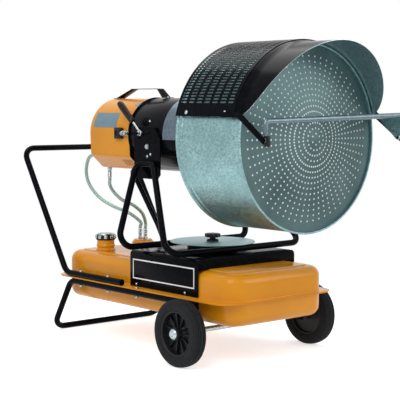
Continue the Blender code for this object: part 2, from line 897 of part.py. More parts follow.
def build_flange_bolts():
    low = foot_rail_z - tube_radius - seat_gap - bolt_head_height
    top = handle_rail_z + tube_radius + seat_gap + bolt_head_height
    for index, (x, y) in enumerate(rail_bolt_places()):
        side = "near" if y < 0 else "far"
        turned(f"{side}_rail_bolt_{index // 2 + 1}", bolt_profile(top, low), (x, y, 0.0), cart,
               zinc_plated, steps=8)


def build_saddle():
    """A folded sheet bridge: a box open below, with low lips at the front and rear."""
    bottom = flange_top_z + seat_gap
    height = saddle_top_z - bottom
    mesh = bpy.data.meshes.new("saddle")
    work = bmesh.new()
    bmesh.ops.create_cube(work, size=1.0)
    size = Vector((saddle_length, 2 * saddle_outer_y, height))
    bmesh.ops.scale(work, vec=size, verts=work.verts)
    bmesh.ops.translate(work, vec=(0.0, 0.0, bottom + height / 2), verts=work.verts)
    long_edges = [edge for edge in work.edges
                  if all(vert.co.z > bottom + height / 2 for vert in edge.verts)
                  and abs(edge.verts[0].co.x - edge.verts[1].co.x) > height / 2]
    bmesh.ops.bevel(work, geom=long_edges, offset=saddle_edge_radius, segments=3,
                    affect="EDGES", profile=0.5)
    lip_z = pad_z + seat_gap
    bmesh.ops.bisect_plane(work, geom=work.verts[:] + work.edges[:] + work.faces[:],
                           plane_co=(0.0, 0.0, lip_z), plane_no=(0.0, 0.0, 1.0))
    half = saddle_length / 2 - merge_distance
    open_faces = [face for face in work.faces
                  if face.normal.z < -0.5
                  or (abs(face.calc_center_median().x) > half
                      and face.calc_center_median().z < lip_z)]
    bmesh.ops.delete(work, geom=open_faces, context="FACES")
    work.to_mesh(mesh)
    work.free()
    saddle = add_part("saddle", mesh, (0.0, 0.0, 0.0), cart, black_enamel)
    thicken(saddle, saddle_thickness, -1.0)


def build_turntable():
    bore = knob_stem_radius + running_gap
    turned("turntable_hub", ring_profile(hub_radius, bore, hub_top_z, hub_bottom_z),
           (0.0, 0.0, 0.0), cart, black_enamel, steps=20, closed=True)
    turned("swivel_disc", ring_profile(disc_radius, bore, disc_top_z, disc_bottom_z),
           (0.0, 0.0, 0.0), stand, galvanised, steps=36, closed=True)
    base = seat_gap
    base_top = base + knob_base_height
    neck_top = base_top + knob_neck_height
    head_top = neck_top + knob_head_height
    profile = [(0.0, neck_top + knob_head_height / 2), (knob_neck_radius, neck_top + knob_head_height / 2),
               (knob_neck_radius, base_top), (knob_base_radius, base_top * knob_base_side_share),
               (knob_base_radius, base), (knob_stem_radius, base),
               (knob_stem_radius, -knob_stem_depth), (0.0, -knob_stem_depth)]
    part = turned("swivel_knob", profile, (0.0, 0.0, disc_top_z), knob, black_plastic, steps=12)
    outline = []
    count = knob_lobes * 4
    for step in range(count):
        angle = 2 * math.pi * step / count
        reach = knob_head_radius - knob_lobe_depth * (1 - math.cos(knob_lobes * angle)) / 2
        outline.append((reach * math.cos(angle), reach * math.sin(angle)))
    star = plate("knob_star", [outline], knob_head_height,
                 (0.0, 0.0, disc_top_z + (neck_top + head_top) / 2), knob, black_plastic)
    apply_boolean(part, make_cutter(star), "UNION")


def build_wheel(prefix, body, side):
    place = tuple(body["place"])
    half = tyre_width / 2
    shoulder = wheel_radius - tyre_width * tyre_shoulder_share
    groove = tyre_groove_depth
    seat = half * tyre_seat_share
    side_groove = (wheel_radius + tyre_inner_radius) / 2
    crown = [(tyre_inner_radius, seat), (side_groove - groove, half), (side_groove, half - groove),
             (side_groove + groove, half), (shoulder, half * tyre_side_share),
             (wheel_radius, half * tyre_tread_share)]
    profile = crown + [(radius, -height) for radius, height in reversed(crown)]
    turned(prefix + "_tyre", profile, place, body, black_rubber, "Y", steps=wheel_steps,
           closed=True)
    build_rim(prefix, body, side, place)


def build_rim(prefix, body, side, place):
    """A moulded wheel centre: outer band, thin web set back, hub, spacer sleeve and ribs."""
    outer = tyre_inner_radius - seat_gap
    inner = outer - rim_wall
    band = rim_width / 2
    web_top = rim_web_thickness / 2 - rim_web_offset
    web_low = web_top - rim_web_thickness
    hub_end = tyre_width / 2
    bore = axle_radius + running_gap
    sleeve = bore + bush_wall
    inward = wheel_mid_y - rail_y - axle_plate_thickness / 2 - running_gap
    profile = [(outer, band), (outer, -band), (inner, -band), (inner, web_low),
               (rim_hub_radius, web_low), (rim_hub_radius, -hub_end), (sleeve, -hub_end),
               (sleeve, -inward), (bore, -inward), (bore, hub_end), (rim_hub_radius, hub_end),
               (rim_hub_radius, web_top), (inner, web_top), (inner, band)]
    rim = turned(prefix + "_rim", facing(profile, side), place, body, black_plastic, "Y",
                 steps=wheel_steps, closed=True)
    ribs = []
    reach = inner + rim_wall / 2
    start = rim_hub_radius - rim_wall / 2
    middle = (reach + start) / 2
    lift = side * (rim_rib_height / 2 - rim_web_offset)
    for index in range(rim_rib_count):
        angle = 2 * math.pi * (index + 0.5) / rim_rib_count
        centre = Vector(place) + Vector((middle * math.cos(angle), lift, middle * math.sin(angle)))
        rib = box("rim_rib", (reach - start, rim_rib_height, rim_rib_thickness), centre, body,
                  black_plastic)
        rib.rotation_euler = (0.0, -angle, 0.0)
        ribs.append(rib)
    apply_boolean(rim, make_cutter(join_meshes(prefix + "_rim_ribs", ribs)), "UNION")


def build_axle():
    reach = wheel_outer_y + axle_cap_depth
    turned("axle", rod_profile(axle_radius, reach, -reach), (wheel_x, 0.0, wheel_radius),
           cart, zinc_plated, "Y", steps=12)
    bore = axle_radius + seat_gap
    crown = seat_gap + axle_cap_height
    profile = [(0.0, crown), (axle_cap_radius * axle_cap_crown_share, crown),
               (axle_cap_radius, crown * axle_cap_edge_share),
               (axle_cap_radius, seat_gap), (bore, seat_gap), (bore, seat_gap + axle_cap_depth),
               (0.0, seat_gap + axle_cap_depth)]
    for prefix, side in (("near", -1), ("far", 1)):
        turned(prefix + "_axle_cap", facing(profile, side),
               (wheel_x, side * wheel_outer_y, wheel_radius), cart, zinc_plated, "Y", steps=12)


def axle_plates():
    """Plates welded under the foot rails, with the axle's holes."""
    top = foot_rail_z - wheel_radius
    low = -axle_radius - axle_plate_drop / 2
    half = axle_plate_length / 2
    foot = half * axle_plate_foot_share
    outline = [(-half, top), (-foot, low), (foot, low), (half, top)]
    bore = circle(axle_radius + seat_gap, 16)
    plates = []
    for side in (-1, 1):
        plates.append(plate("axle_plate", [outline, bore], axle_plate_thickness,
                            (wheel_x, side * rail_y, wheel_radius), cart, black_enamel, "XZ"))
    return make_cutter(join_meshes("axle_plates", plates))


def build_stand_tubes():
    """Near and far halves of the tube frame, which meet under the swivel disc."""
    for name, side in (("stand_tube_near", -1), ("stand_tube_far", 1)):
        points = [(cradle_half_length, side * seat_gap, cradle_z),
                  (cradle_half_length, side * knee_y, cradle_z),
                  (leg_top_front_x, side * leg_top_y, leg_top_z),
                  (leg_top_rear_x, side * leg_top_y, leg_top_z),
                  (-cradle_half_length, side * knee_y, cradle_z),
                  (-cradle_half_length, side * seat_gap, cradle_z)]
        bends = [leg_bend, leg_top_bend, leg_top_bend, leg_bend]
        tube(name, rounded_path(points, bends), tube_radius, stand, black_enamel)


def slot_outline():
    """The curved slot that the clamp stud slides in as the head tilts."""
    half = stud_radius + running_gap
    start = math.radians(slot_angle - tilt_down)
    end = math.radians(slot_angle + tilt_up)
    steps = 6
    outline = []
    for step in range(steps + 1):
        angle = start + (end - start) * step / steps
        outline.append(((slot_orbit + half) * math.cos(angle), (slot_orbit + half) * math.sin(angle)))
    outline += slot_end(end, half, 0.0)
    for step in range(steps, -1, -1):
        angle = start + (end - start) * step / steps
        outline.append(((slot_orbit - half) * math.cos(angle), (slot_orbit - half) * math.sin(angle)))
    outline += slot_end(start, half, math.pi)
    return outline


def slot_end(angle, half, turn):
    """Points of a half circle that closes one end of the slot."""
    centre = (slot_orbit * math.cos(angle), slot_orbit * math.sin(angle))
    points = []
    for step in (1, 2, 3):
        around = angle + turn + math.radians(45 * step)
        points.append((centre[0] + half * math.cos(around), centre[1] + half * math.sin(around)))
    return points


def build_side_plates():
    """The two plates between which the burner housing tilts, and their pivot bolts."""
    left = side_plate_rear_x - pivot_x
    right = side_plate_front_x - pivot_x
    low = side_plate_bottom_z - pivot_z
    high = side_plate_top_z - pivot_z
    corner = side_plate_corner
    lug = side_plate_lug
    outline = [(left - lug, low), (right - corner, low), (right, low + corner),
               (right, high - side_plate_slope_share * corner), (right - side_plate_corner_run, high),
               (left + side_plate_notch_share * corner, high),
               (left, high - side_plate_notch_share * corner), (left, low + side_plate_lug_top),
               (left - lug, low + lug)]
    bore = circle(pivot_bolt_radius + seat_gap, 14)
    outside = side_plate_y + side_plate_thickness + seat_gap
    tip = side_plate_y - pivot_reach
    profile = [(0.0, outside + pivot_head_height), (pivot_head_radius, outside + pivot_head_height),
               (pivot_head_radius, outside), (pivot_bolt_radius, outside),
               (pivot_bolt_radius, tip), (0.0, tip)]
    for prefix, side in (("near", -1), ("far", 1)):
        place = (pivot_x, side * (side_plate_y + side_plate_thickness / 2), pivot_z)
        plate(prefix + "_bracket", [outline, bore, slot_outline()], side_plate_thickness,
              place, stand, black_enamel, "XZ")
        turned(prefix + "_pivot_bolt", facing(profile, side), (pivot_x, 0.0, pivot_z), stand,
               zinc_plated, "Y", steps=12)


def build_brace():
    """A stay on the near side, from the cradle up to the rear lug of the side plate."""
    inside_y = -(side_plate_y - seat_gap - brace_radius)
    foot = (brace_foot_x, brace_foot_y, cradle_z + tube_radius + seat_gap + brace_radius)
    path = [foot, (brace_top_x, inside_y, brace_top_z)]
    tube("stand_brace", path, brace_radius, stand, black_enamel)


def build_lever():
    outer = side_plate_thickness + 2 * seat_gap
    hub_low = -(outer + lever_hub_height)
    bore = stud_radius + seat_gap
    hub = turned("tilt_lever_rod", ring_profile(lever_hub_radius, bore, -outer, hub_low),
                 lever["place"], lever, zinc_plated, "Y", steps=12, closed=True)
    way = Vector((math.cos(math.radians(lever_angle)), 0.0, math.sin(math.radians(lever_angle))))
    middle = Vector(lever["place"]) + Vector((0.0, -(outer + lever_hub_height / 2), 0.0))
    grip_start = lever_length - lever_grip_length
    rod_end = middle + way * (grip_start + lever_grip_length / 2)
    rod = tube("lever_rod", [middle + way * (bore + lever_rod_radius), rod_end],
               lever_rod_radius, lever, zinc_plated)
    apply_boolean(hub, make_cutter(rod), "UNION")
    profile = [(0.0, lever_length), (lever_grip_radius * lever_grip_end_share, lever_length),
               (lever_grip_radius, lever_length - lever_grip_radius * lever_grip_round_share),
               (lever_grip_radius * lever_grip_waist_share, grip_start + lever_grip_radius),
               (lever_grip_radius * lever_grip_round_share, grip_start),
               (lever_rod_radius + seat_gap, grip_start),
               (lever_rod_radius + seat_gap, grip_start + lever_grip_length / 2 + seat_gap),
               (0.0, grip_start + lever_grip_length / 2 + seat_gap)]
    grip = turned("tilt_lever_grip", profile, middle, lever, brown_plastic, steps=12)
    grip.rotation_euler = (0.0, math.radians(90 - lever_angle), 0.0)


def build_housing():
    """The black burner housing: a tube with pivot bosses and the studs of the tilt clamp."""
    front = drum_rear_x - seat_gap
    inner = housing_radius - housing_wall
    body = turned("burner_housing", ring_profile(housing_radius, inner, front, housing_rear_x),
                  (0.0, 0.0, head_z), head, black_enamel, "X", steps=housing_steps, closed=True)
    additions = []
    bores = []
    tip = side_plate_y - seat_gap
    hole_end = side_plate_y - pivot_reach - seat_gap
    for side in (-1, 1):
        boss = facing(rod_profile(boss_radius, tip, tip - boss_depth), side)
        bore = facing(rod_profile(pivot_bolt_radius + seat_gap, tip + cut_overrun, hole_end), side)
        additions.append(turned("boss", boss, (pivot_x, 0.0, pivot_z), head, black_enamel, "Y",
                                steps=12))
        bores.append(turned("bore", bore, (pivot_x, 0.0, pivot_z), head, black_enamel, "Y",
                            steps=12))
        reach = side_plate_y + (stud_length if side < 0 else side_plate_thickness * 2)
        stud = [(0.0, reach), (stud_radius, reach), (stud_radius, tip), (boss_radius * boss_point_share, tip),
                (boss_radius * boss_point_share, tip - boss_depth), (0.0, tip - boss_depth)]
        additions.append(turned("stud", facing(stud, side), (stud_x, 0.0, stud_z), head,
                                black_enamel, "Y", steps=10))
    apply_boolean(body, make_cutter(join_meshes("housing_bosses", additions)), "UNION")
    apply_boolean(body, make_cutter(join_meshes("housing_bores", bores)))


def build_flange_disc():
    """The motor flange between the yellow casing and the black housing."""
    front = housing_rear_x - seat_gap
    rear = flange_disc_rear_x
    turned("housing_flange", ring_profile(flange_disc_radius, shaft_radius + running_gap, front, rear),
           (0.0, 0.0, head_z), head, black_enamel, "X", steps=housing_steps,
           closed=True)


def cover_outline():
    """Section of the casing: round above, straight sides, chamfered flat bottom."""
    points = []
    steps = 12
    for step in range(steps + 1):
        angle = math.pi * step / steps
        points.append((cover_radius * math.cos(angle), cover_radius * math.sin(angle)))
    points.append((-cover_radius * cover_side_share, -cover_radius * cover_chamfer_share))
    points.append((-cover_radius * cover_flat_share, -cover_radius))
    points.append((cover_radius * cover_flat_share, -cover_radius))
    points.append((cover_radius * cover_side_share, -cover_radius * cover_chamfer_share))
    return points


def build_cover():
    """The yellow casing, a shell open to the front, with slots and a hose opening."""
    mesh = bpy.data.meshes.new("burner_cover")
    work = bmesh.new()
    base = [work.verts.new((cover_rear_x, y, z)) for y, z in cover_outline()]
    rear_face = work.faces.new(base)
    grown = bmesh.ops.extrude_face_region(work, geom=[rear_face])
    moved = [item for item in grown["geom"] if isinstance(item, bmesh.types.BMVert)]
    bmesh.ops.translate(work, vec=(cover_length, 0.0, 0.0), verts=moved)
    bmesh.ops.recalc_face_normals(work, faces=work.faces)
    middle = (cover_rear_x + cover_front_x) / 2
    front = [face for face in work.faces if all(vert.co.x > middle for vert in face.verts)]
    bmesh.ops.delete(work, geom=front, context="FACES_ONLY")
    rear_edges = [edge for edge in work.edges if all(vert.co.x < middle for vert in edge.verts)]
    bmesh.ops.bevel(work, geom=rear_edges, offset=cover_edge_radius, segments=2,
                    affect="EDGES", profile=0.5)
    work.to_mesh(mesh)
    work.free()
    cover = add_part("burner_cover", mesh, (0.0, 0.0, head_z), head, yellow_enamel)
    thicken(cover, cover_wall, -1.0)
    shade_round(mesh, 40.0)
    vents = []
    for side in (-1, 1):
        for index in range(vent_count):
            x = cover_front_x - vent_pitch * (index + 1)
            y = side * cover_radius * (cover_flat_share + cover_side_share) / 2
            z = head_z - cover_radius * (1 + cover_chamfer_share) / 2
            vents.append(box("vent", (vent_width, cover_edge_radius * 2, vent_height), (x, y, z),
                             head, black_enamel))
    apply_boolean(cover, make_cutter(join_meshes("cover_vents", vents)))
    low = (return_top[0], return_top[1], head_z - cover_radius)
    hole = rod_profile(hose_hole_radius, cut_overrun, -cut_overrun)
    bottom_hole = turned("return_hole", hole, low, head, black_enamel, steps=14)
    rear_place = (cover_rear_x, feed_top[1], feed_top[2])
    rear_hole = turned("feed_hole", hole, rear_place, head, black_enamel, "X", steps=14)
    for tool in (bottom_hole, rear_hole):
        apply_boolean(cover, make_cutter(tool))


def build_burner_fittings():
    """The upper hose ends, which stand on the casing's rear face and its bottom."""
    end = [(radius, -height) for radius, height in reversed(fitting_profile(seat_gap))]
    crimped_fitting("feed_inlet", end, (cover_rear_x, feed_top[1], feed_top[2]), head, "X")
    crimped_fitting("return_outlet", end, (return_top[0], return_top[1], head_z - cover_radius),
                    head, "Z")


def hose_route(low, top, shares):
    """Points between a hose's ends, given as shares of the way from one to the other."""
    span = top - low
    return [low + Vector((span.x * x, span.y * y, span.z * z)) for x, y, z in shares]


def build_hoses(lower_ends):
    """Two braided hoses with slack for tilting and swivelling, held at both ends."""
    feed_low, return_low = (Vector(place) for place in lower_ends)
    feed_end = Vector(feed_top)
    return_end = Vector(return_top)
    up = Vector((0.0, 0.0, 1.0))
    along = Vector((1.0, 0.0, 0.0))
    feed_route = ([feed_low + hose_stub * up, feed_low + hose_lead * up]
                  + hose_route(feed_low, feed_end, feed_route_shares)
                  + [feed_end - hose_lead * along, feed_end - hose_stub * along])
    return_route = ([return_low + hose_stub * up, return_low + hose_lead * up]
                    + hose_route(return_low, return_end, return_route_shares)
                    + [return_end - return_lead * up, return_end - hose_stub * up])
    for name, low, route, top in (("feed_hose", feed_low, feed_route, feed_end),
                                  ("return_hose", return_low, return_route, return_end)):
        tube(name, [low] + smooth_path(route, 2) + [top], hose_radius, cart, braided_steel)


def build_carry_handle():
    cover_top = head_z + cover_radius + seat_gap + handle_strip_thickness / 2
    housing_top = head_z + housing_radius + seat_gap + handle_strip_thickness / 2
    points = [(carry_rear_foot_x - carry_foot_length, cover_top), (carry_rear_foot_x, cover_top),
              (carry_rear_x, carry_top_z), (carry_front_x, carry_top_z),
              (carry_front_foot_x, housing_top), (carry_front_foot_x + carry_foot_length, housing_top)]
    folded_sheet("carry_handle", points, handle_strip_width, handle_strip_thickness,
                 (0.0, 0.0, 0.0), head, black_enamel)


def build_burner_parts():
    """What the casing and housing hold: motor, pump, transformer, flame tube and nozzle."""
    motor_front = flange_disc_rear_x - seat_gap
    motor_rear = motor_front - motor_length
    bore = shaft_radius + running_gap
    bore_end = motor_front - motor_bore_share * motor_length
    motor = [(0.0, bore_end), (bore, bore_end),
             (bore, motor_front), (motor_radius, motor_front),
             (motor_radius, motor_rear + motor_end_share * motor_length),
             (motor_radius * motor_end_radius_share, motor_rear),
             (0.0, motor_rear)]
    turned("motor", motor, (0.0, 0.0, head_z), head, cast_metal, "X", steps=16)
    pump_front = motor_rear - seat_gap
    turned("fuel_pump", rod_profile(pump_radius, pump_front, pump_front - pump_length),
           (0.0, 0.0, head_z), head, cast_metal, "X", steps=10)
    mid_z = head_z + motor_radius + seat_gap + transformer_height / 2
    box("transformer", (transformer_length, transformer_width, transformer_height),
        (motor_front - transformer_length / 2, 0.0, mid_z), head, black_plastic)
    plate_rear = flame_plate_x
    plate_front = plate_rear + housing_wall
    outer = housing_radius - housing_wall - seat_gap
    nozzle_bore = nozzle_radius + seat_gap
    inner = flame_tube_radius - flame_tube_wall
    section = [(outer, plate_front), (outer, plate_rear), (nozzle_bore, plate_rear),
               (nozzle_bore, plate_front), (inner, plate_front), (inner, flame_tube_front_x),
               (flame_tube_radius, flame_tube_front_x), (flame_tube_radius, plate_front)]
    turned("flame_tube", section, (0.0, 0.0, head_z), head, dark_steel, "X", steps=housing_steps,
           closed=True)
    nozzle_rear = plate_rear - nozzle_length * nozzle_back_share
    nozzle_front = nozzle_rear + nozzle_length
    nozzle = [(0.0, nozzle_front), (nozzle_radius * nozzle_tip_share, nozzle_front),
              (nozzle_radius, nozzle_rear + nozzle_shoulder_share * nozzle_length),
              (nozzle_radius, nozzle_rear),
              (0.0, nozzle_rear)]
    turned("nozzle_holder", nozzle, (0.0, 0.0, head_z), head, copper, "X", steps=8)


def build_fan():
    """A centrifugal wheel on the motor shaft, inside the rear of the housing."""
    plate_front = fan_back_gap + fan_backplate_thickness
    hub = fan_radius * fan_hub_share
    shaft_rear = -(flange_disc_thickness + motor_length * motor_shaft_share)
    hub_front = plate_front + fan_width * fan_hub_length_share
    profile = [(0.0, hub_front), (hub, hub_front), (hub, plate_front),
               (fan_radius, plate_front), (fan_radius, fan_back_gap), (shaft_radius, fan_back_gap),
               (shaft_radius, shaft_rear), (0.0, shaft_rear)]
    wheel = turned("fan_wheel", profile, fan["place"], fan, cast_metal, "X", steps=18)
    blades = []
    depth = fan_radius * fan_blade_share
    for index in range(fan_blades):
        angle = 2 * math.pi * index / fan_blades
        reach = fan_radius - depth / 2 - seat_gap
        centre = Vector(fan["place"]) + Vector((fan_back_gap + fan_backplate_thickness / 2 + fan_width / 2,
                                                reach * math.cos(angle), reach * math.sin(angle)))
        blade = box("blade", (fan_width, depth, fan_blade_thickness), centre, fan, cast_metal)
        blade.rotation_euler = (angle, 0.0, 0.0)
        blades.append(blade)
    apply_boolean(wheel, make_cutter(join_meshes("fan_blades", blades)), "UNION")


def build_controls():
    """The socket for a room thermostat on the casing's near side, with its cable glands."""
    face = -(cover_radius + seat_gap)
    socket = box("control_socket", (socket_size, socket_depth, socket_size),
                 (socket_x, face - socket_depth / 2, socket_z), head, black_plastic)
    for index in (0, 1):
        x = socket_x + socket_size / 2 + gland_radius * (gland_first_share + gland_pitch_share * index)
        profile = [(0.0, 0.0), (gland_radius, 0.0), (gland_radius, -gland_length * gland_nut_share),
                   (gland_radius * gland_stem_share, -gland_length * gland_slope_share),
                   (gland_radius * gland_stem_share, -gland_length),
                   (0.0, -gland_length)]
        gland = turned("gland", profile, (x, face, socket_z), head, zinc_plated, "Y", steps=10)
        apply_boolean(socket, make_cutter(gland), "UNION")


def build_heat_shield():
    """A curved galvanised sheet over the near upper side of the housing."""
    mesh = bpy.data.meshes.new("heat_shield")
    work = bmesh.new()
    radius = housing_radius + shield_standoff
    front = drum_rear_x - seat_gap
    rows = []
    steps = 10
    for step in range(steps + 1):
        angle = math.radians(shield_from_angle + (shield_to_angle - shield_from_angle) * step / steps)
        y = -radius * math.sin(angle)
        z = radius * math.cos(angle)
        rows.append((work.verts.new((shield_rear_x, y, z)), work.verts.new((front, y, z))))
    for (rear_a, front_a), (rear_b, front_b) in zip(rows, rows[1:]):
        work.faces.new((rear_a, rear_b, front_b, front_a))
    work.to_mesh(mesh)
    work.free()
    shield = add_part("shield_sheet", mesh, (0.0, 0.0, head_z), head, galvanised)
    thicken(shield, shield_thickness, 0.0)
    spacers = []
    for corner in shield_spacer_corners:
        angle = 2 * math.pi * corner / housing_steps
        low = housing_radius + seat_gap
        high = radius - shield_thickness / 2 + shield_spacer_bite
        for x in (shield_rear_x + shield_spacer_inset, drum_rear_x - shield_spacer_front_inset):
            centre = Vector((x, -math.sin(angle) * (low + high) / 2,
                             head_z + math.cos(angle) * (low + high) / 2))
            spacer = box("spacer", (shield_spacer_width, shield_spacer_width, high - low), centre,
                         head, galvanised)
            spacer.rotation_euler = (angle, 0.0, 0.0)
            spacers.append(spacer)
    tool = make_cutter(join_meshes("shield_spacers", spacers))
    apply_boolean(shield, tool, "UNION")
    shield.name = "heat_shield"


def build_drum():
    """The galvanised drum: thin wall, rolled front and rear rims and a raised bead."""
    inner = drum_radius - drum_wall
    rim = drum_rim_radius
    front = drum_front_x
    rear = drum_rear_x
    bead = rear + drum_bead_inset
    half = drum_bead_width / 2
    outer = [(drum_radius - drum_wall / 2, front), (drum_radius + rim, front - rim / 2),
             (drum_radius + rim, front - drum_rim_curl), (drum_radius, front - drum_rim_width),
             (drum_radius, bead + half), (drum_radius + drum_bead_height, bead + half / 2),
             (drum_radius + drum_bead_height, bead - half / 2), (drum_radius, bead - half),
             (drum_radius, rear + drum_rim_width), (drum_radius + rim, rear + drum_rim_curl),
             (drum_radius + rim, rear + rim / 2), (drum_radius - drum_wall / 2, rear)]
    section = outer + [(inner, rear), (inner, front)]
    shell = turned("drum_shell", section, (0.0, 0.0, head_z), head, galvanised, "X",
                   steps=drum_steps, closed=True)
    apply_boolean(shell, hood_standoffs(), "UNION")
    plate_rear = drum_rear_x
    profile = ring_profile(inner - seat_gap, flame_tube_radius + flame_tube_gap,
                           plate_rear + back_plate_thickness, plate_rear)
    turned("drum_back_plate", profile, (0.0, 0.0, head_z), head, galvanised, "X",
           steps=drum_steps, closed=True)
    tube_rear = plate_rear + back_plate_thickness + seat_gap
    profile = ring_profile(combustion_radius, combustion_radius - combustion_wall,
                           tube_rear + combustion_length, tube_rear)
    turned("combustion_tube", profile, (0.0, 0.0, head_z), head, dark_steel, "X", steps=22, closed=True)


def dish_ring_shares():
    """Radii of the dish's circles, from the centre out, as shares of the pierced radius."""
    shares = []
    for ring in range(dish_rings):
        middle = (ring + 1.0) / (dish_rings + dish_edge_share)
        half = dish_hole_share / 2 / (dish_rings + dish_edge_share)
        shares += [middle - half, middle + half]
    return shares


def build_dish():
    """The radiant dish: a shallow cone of sheet pierced in rings of radial rows."""
    outer = drum_radius - drum_wall - seat_gap
    pierced = outer - dish_margin
    front = drum_front_x - dish_recess
    spokes = drum_steps
    mesh = bpy.data.meshes.new("radiant_dish")
    work = bmesh.new()
    rows = []
    for share in dish_ring_shares() + [1.0, outer / pierced]:
        radius = pierced * share
        lift = dish_rise * max(0.0, 1.0 - share)
        row = []
        for spoke in range(spokes):
            width = dish_hole_share if spoke % 2 else 2 - dish_hole_share
            narrow = spoke // 2 * 2 + (width if spoke % 2 == 0 else 2.0)
            angle = 2 * math.pi * (narrow if share < 1.0 else spoke) / spokes
            row.append(work.verts.new((front + lift, radius * math.cos(angle), radius * math.sin(angle))))
        rows.append(row)
    centre = work.verts.new((front + dish_rise, 0.0, 0.0))
    for index in range(spokes):
        following = (index + 1) % spokes
        work.faces.new((centre, rows[0][index], rows[0][following]))
        for ring, (inner_row, outer_row) in enumerate(zip(rows, rows[1:])):
            is_hole = ring % 2 == 0 and ring < 2 * dish_rings and index % 2 == 0
            if not is_hole:
                work.faces.new((inner_row[index], outer_row[index], outer_row[following],
                                inner_row[following]))
    work.to_mesh(mesh)
    work.free()
    dish = add_part("radiant_dish", mesh, (0.0, 0.0, head_z), head, dark_steel)
    thicken(dish, dish_thickness, -1.0)
    return dish


def hood_point(radius, angle, x):
    return (x, radius * math.sin(angle), radius * math.cos(angle))


def hood_angles():
    """Angles of the hood's facets from its top: margins in thirds, then bars and slots."""
    pitch = 2 * (hood_half_angle - hood_margin_angle) / grille_rows
    first_slot = hood_margin_angle + pitch * (1 - slot_height_share) / 2
    angles = [first_slot * third / 3 - hood_half_angle for third in range(3)]
    for row in range(grille_rows):
        start = first_slot + row * pitch - hood_half_angle
        angles += [start, start + pitch * slot_height_share]
    return angles + [hood_half_angle - first_slot * third / 3 for third in (2, 1, 0)]


def face_outwards(work, centre_x):
    """Turn an arched sheet's faces away from its axis."""
    bmesh.ops.recalc_face_normals(work, faces=work.faces)
    middle = Vector((centre_x, 0.0, 0.0))
    if sum(face.normal.dot(face.calc_center_median() - middle) for face in work.faces) < 0:
        bmesh.ops.reverse_faces(work, faces=work.faces)


def build_grille():
    """The black hood over the drum: an arched sheet pierced with rows of slots."""
    mesh = bpy.data.meshes.new("hood_grille")
    work = bmesh.new()
    length = hood_front_x - hood_rear_x
    pitch_x = length / (grille_columns + hood_border_share)
    slot_length = pitch_x * slot_length_share
    first_x = hood_rear_x + (length - (grille_columns - 1) * pitch_x - slot_length) / 2
    stations = [hood_rear_x]
    for column in range(grille_columns):
        start = first_x + column * pitch_x
        stations += [start, start + slot_length]
    stations.append(hood_front_x)
    angles = hood_angles()
    grid = [[work.verts.new(hood_point(hood_radius, math.radians(angle), x)) for x in stations]
            for angle in angles]
    slot_rows = range(3, 3 + 2 * grille_rows, 2)
    for row in range(len(angles) - 1):
        for column in range(len(stations) - 1):
            if row in slot_rows and column % 2:
                continue
            work.faces.new((grid[row][column], grid[row][column + 1],
                            grid[row + 1][column + 1], grid[row + 1][column]))
    face_outwards(work, (hood_rear_x + hood_front_x) / 2)
    work.to_mesh(mesh)
    work.free()
    grille = add_part("hood_grille", mesh, (0.0, 0.0, head_z), head, black_enamel)
    thicken(grille, hood_thickness, 1.0)


def visor_edge_x(angle_degrees):
    """How far forward the visor reaches at an angle from the top: a half ellipse."""
    share = min(1.0, abs(angle_degrees) / hood_half_angle)
    corner = visor_corner_reach / visor_reach
    return hood_front_x + visor_reach * max(corner, math.sqrt(1 - share ** 2))


def build_visor():
    """The plain sheet that carries the hood forward over the dish."""
    mesh = bpy.data.meshes.new("hood_visor")
    work = bmesh.new()
    rows = []
    rear = hood_front_x - visor_overlap
    for degrees in hood_angles():
        angle = math.radians(degrees)
        front = visor_edge_x(degrees)
        stops = (rear, hood_front_x, (hood_front_x + front) / 2, front)
        rows.append([work.verts.new(hood_point(visor_radius, angle, x)) for x in stops])
    for first, second in zip(rows, rows[1:]):
        for index in range(len(first) - 1):
            work.faces.new((first[index], first[index + 1], second[index + 1], second[index]))
    face_outwards(work, (rear + visor_front_x) / 2)
    work.to_mesh(mesh)
    work.free()
    visor = add_part("hood_visor", mesh, (0.0, 0.0, head_z), head, black_enamel)
    thicken(visor, visor_thickness, 1.0)
    shade_round(mesh, 40.0)


def hood_standoffs():
    """Spacers on the drum that the hood's lower edges are screwed to."""
    spacers = []
    facet = hood_angles()[:2]
    level = -sum(facet) / 2
    low = drum_radius - drum_wall / 2
    high = hood_radius * math.cos(math.radians(facet[1] - facet[0]) / 2) - seat_gap
    for side in (-1, 1):
        for x in (hood_rear_x + hood_screw_inset, arm_rear_x + hood_screw_inset):
            spacer = turned("hood_spacer", rod_profile(hood_spacer_radius, high, low),
                            (x, 0.0, head_z), head, galvanised, steps=8)
            spacer.rotation_euler = (-side * math.radians(level), 0.0, 0.0)
            spacers.append(spacer)
    return make_cutter(join_meshes("hood_spacers", spacers))


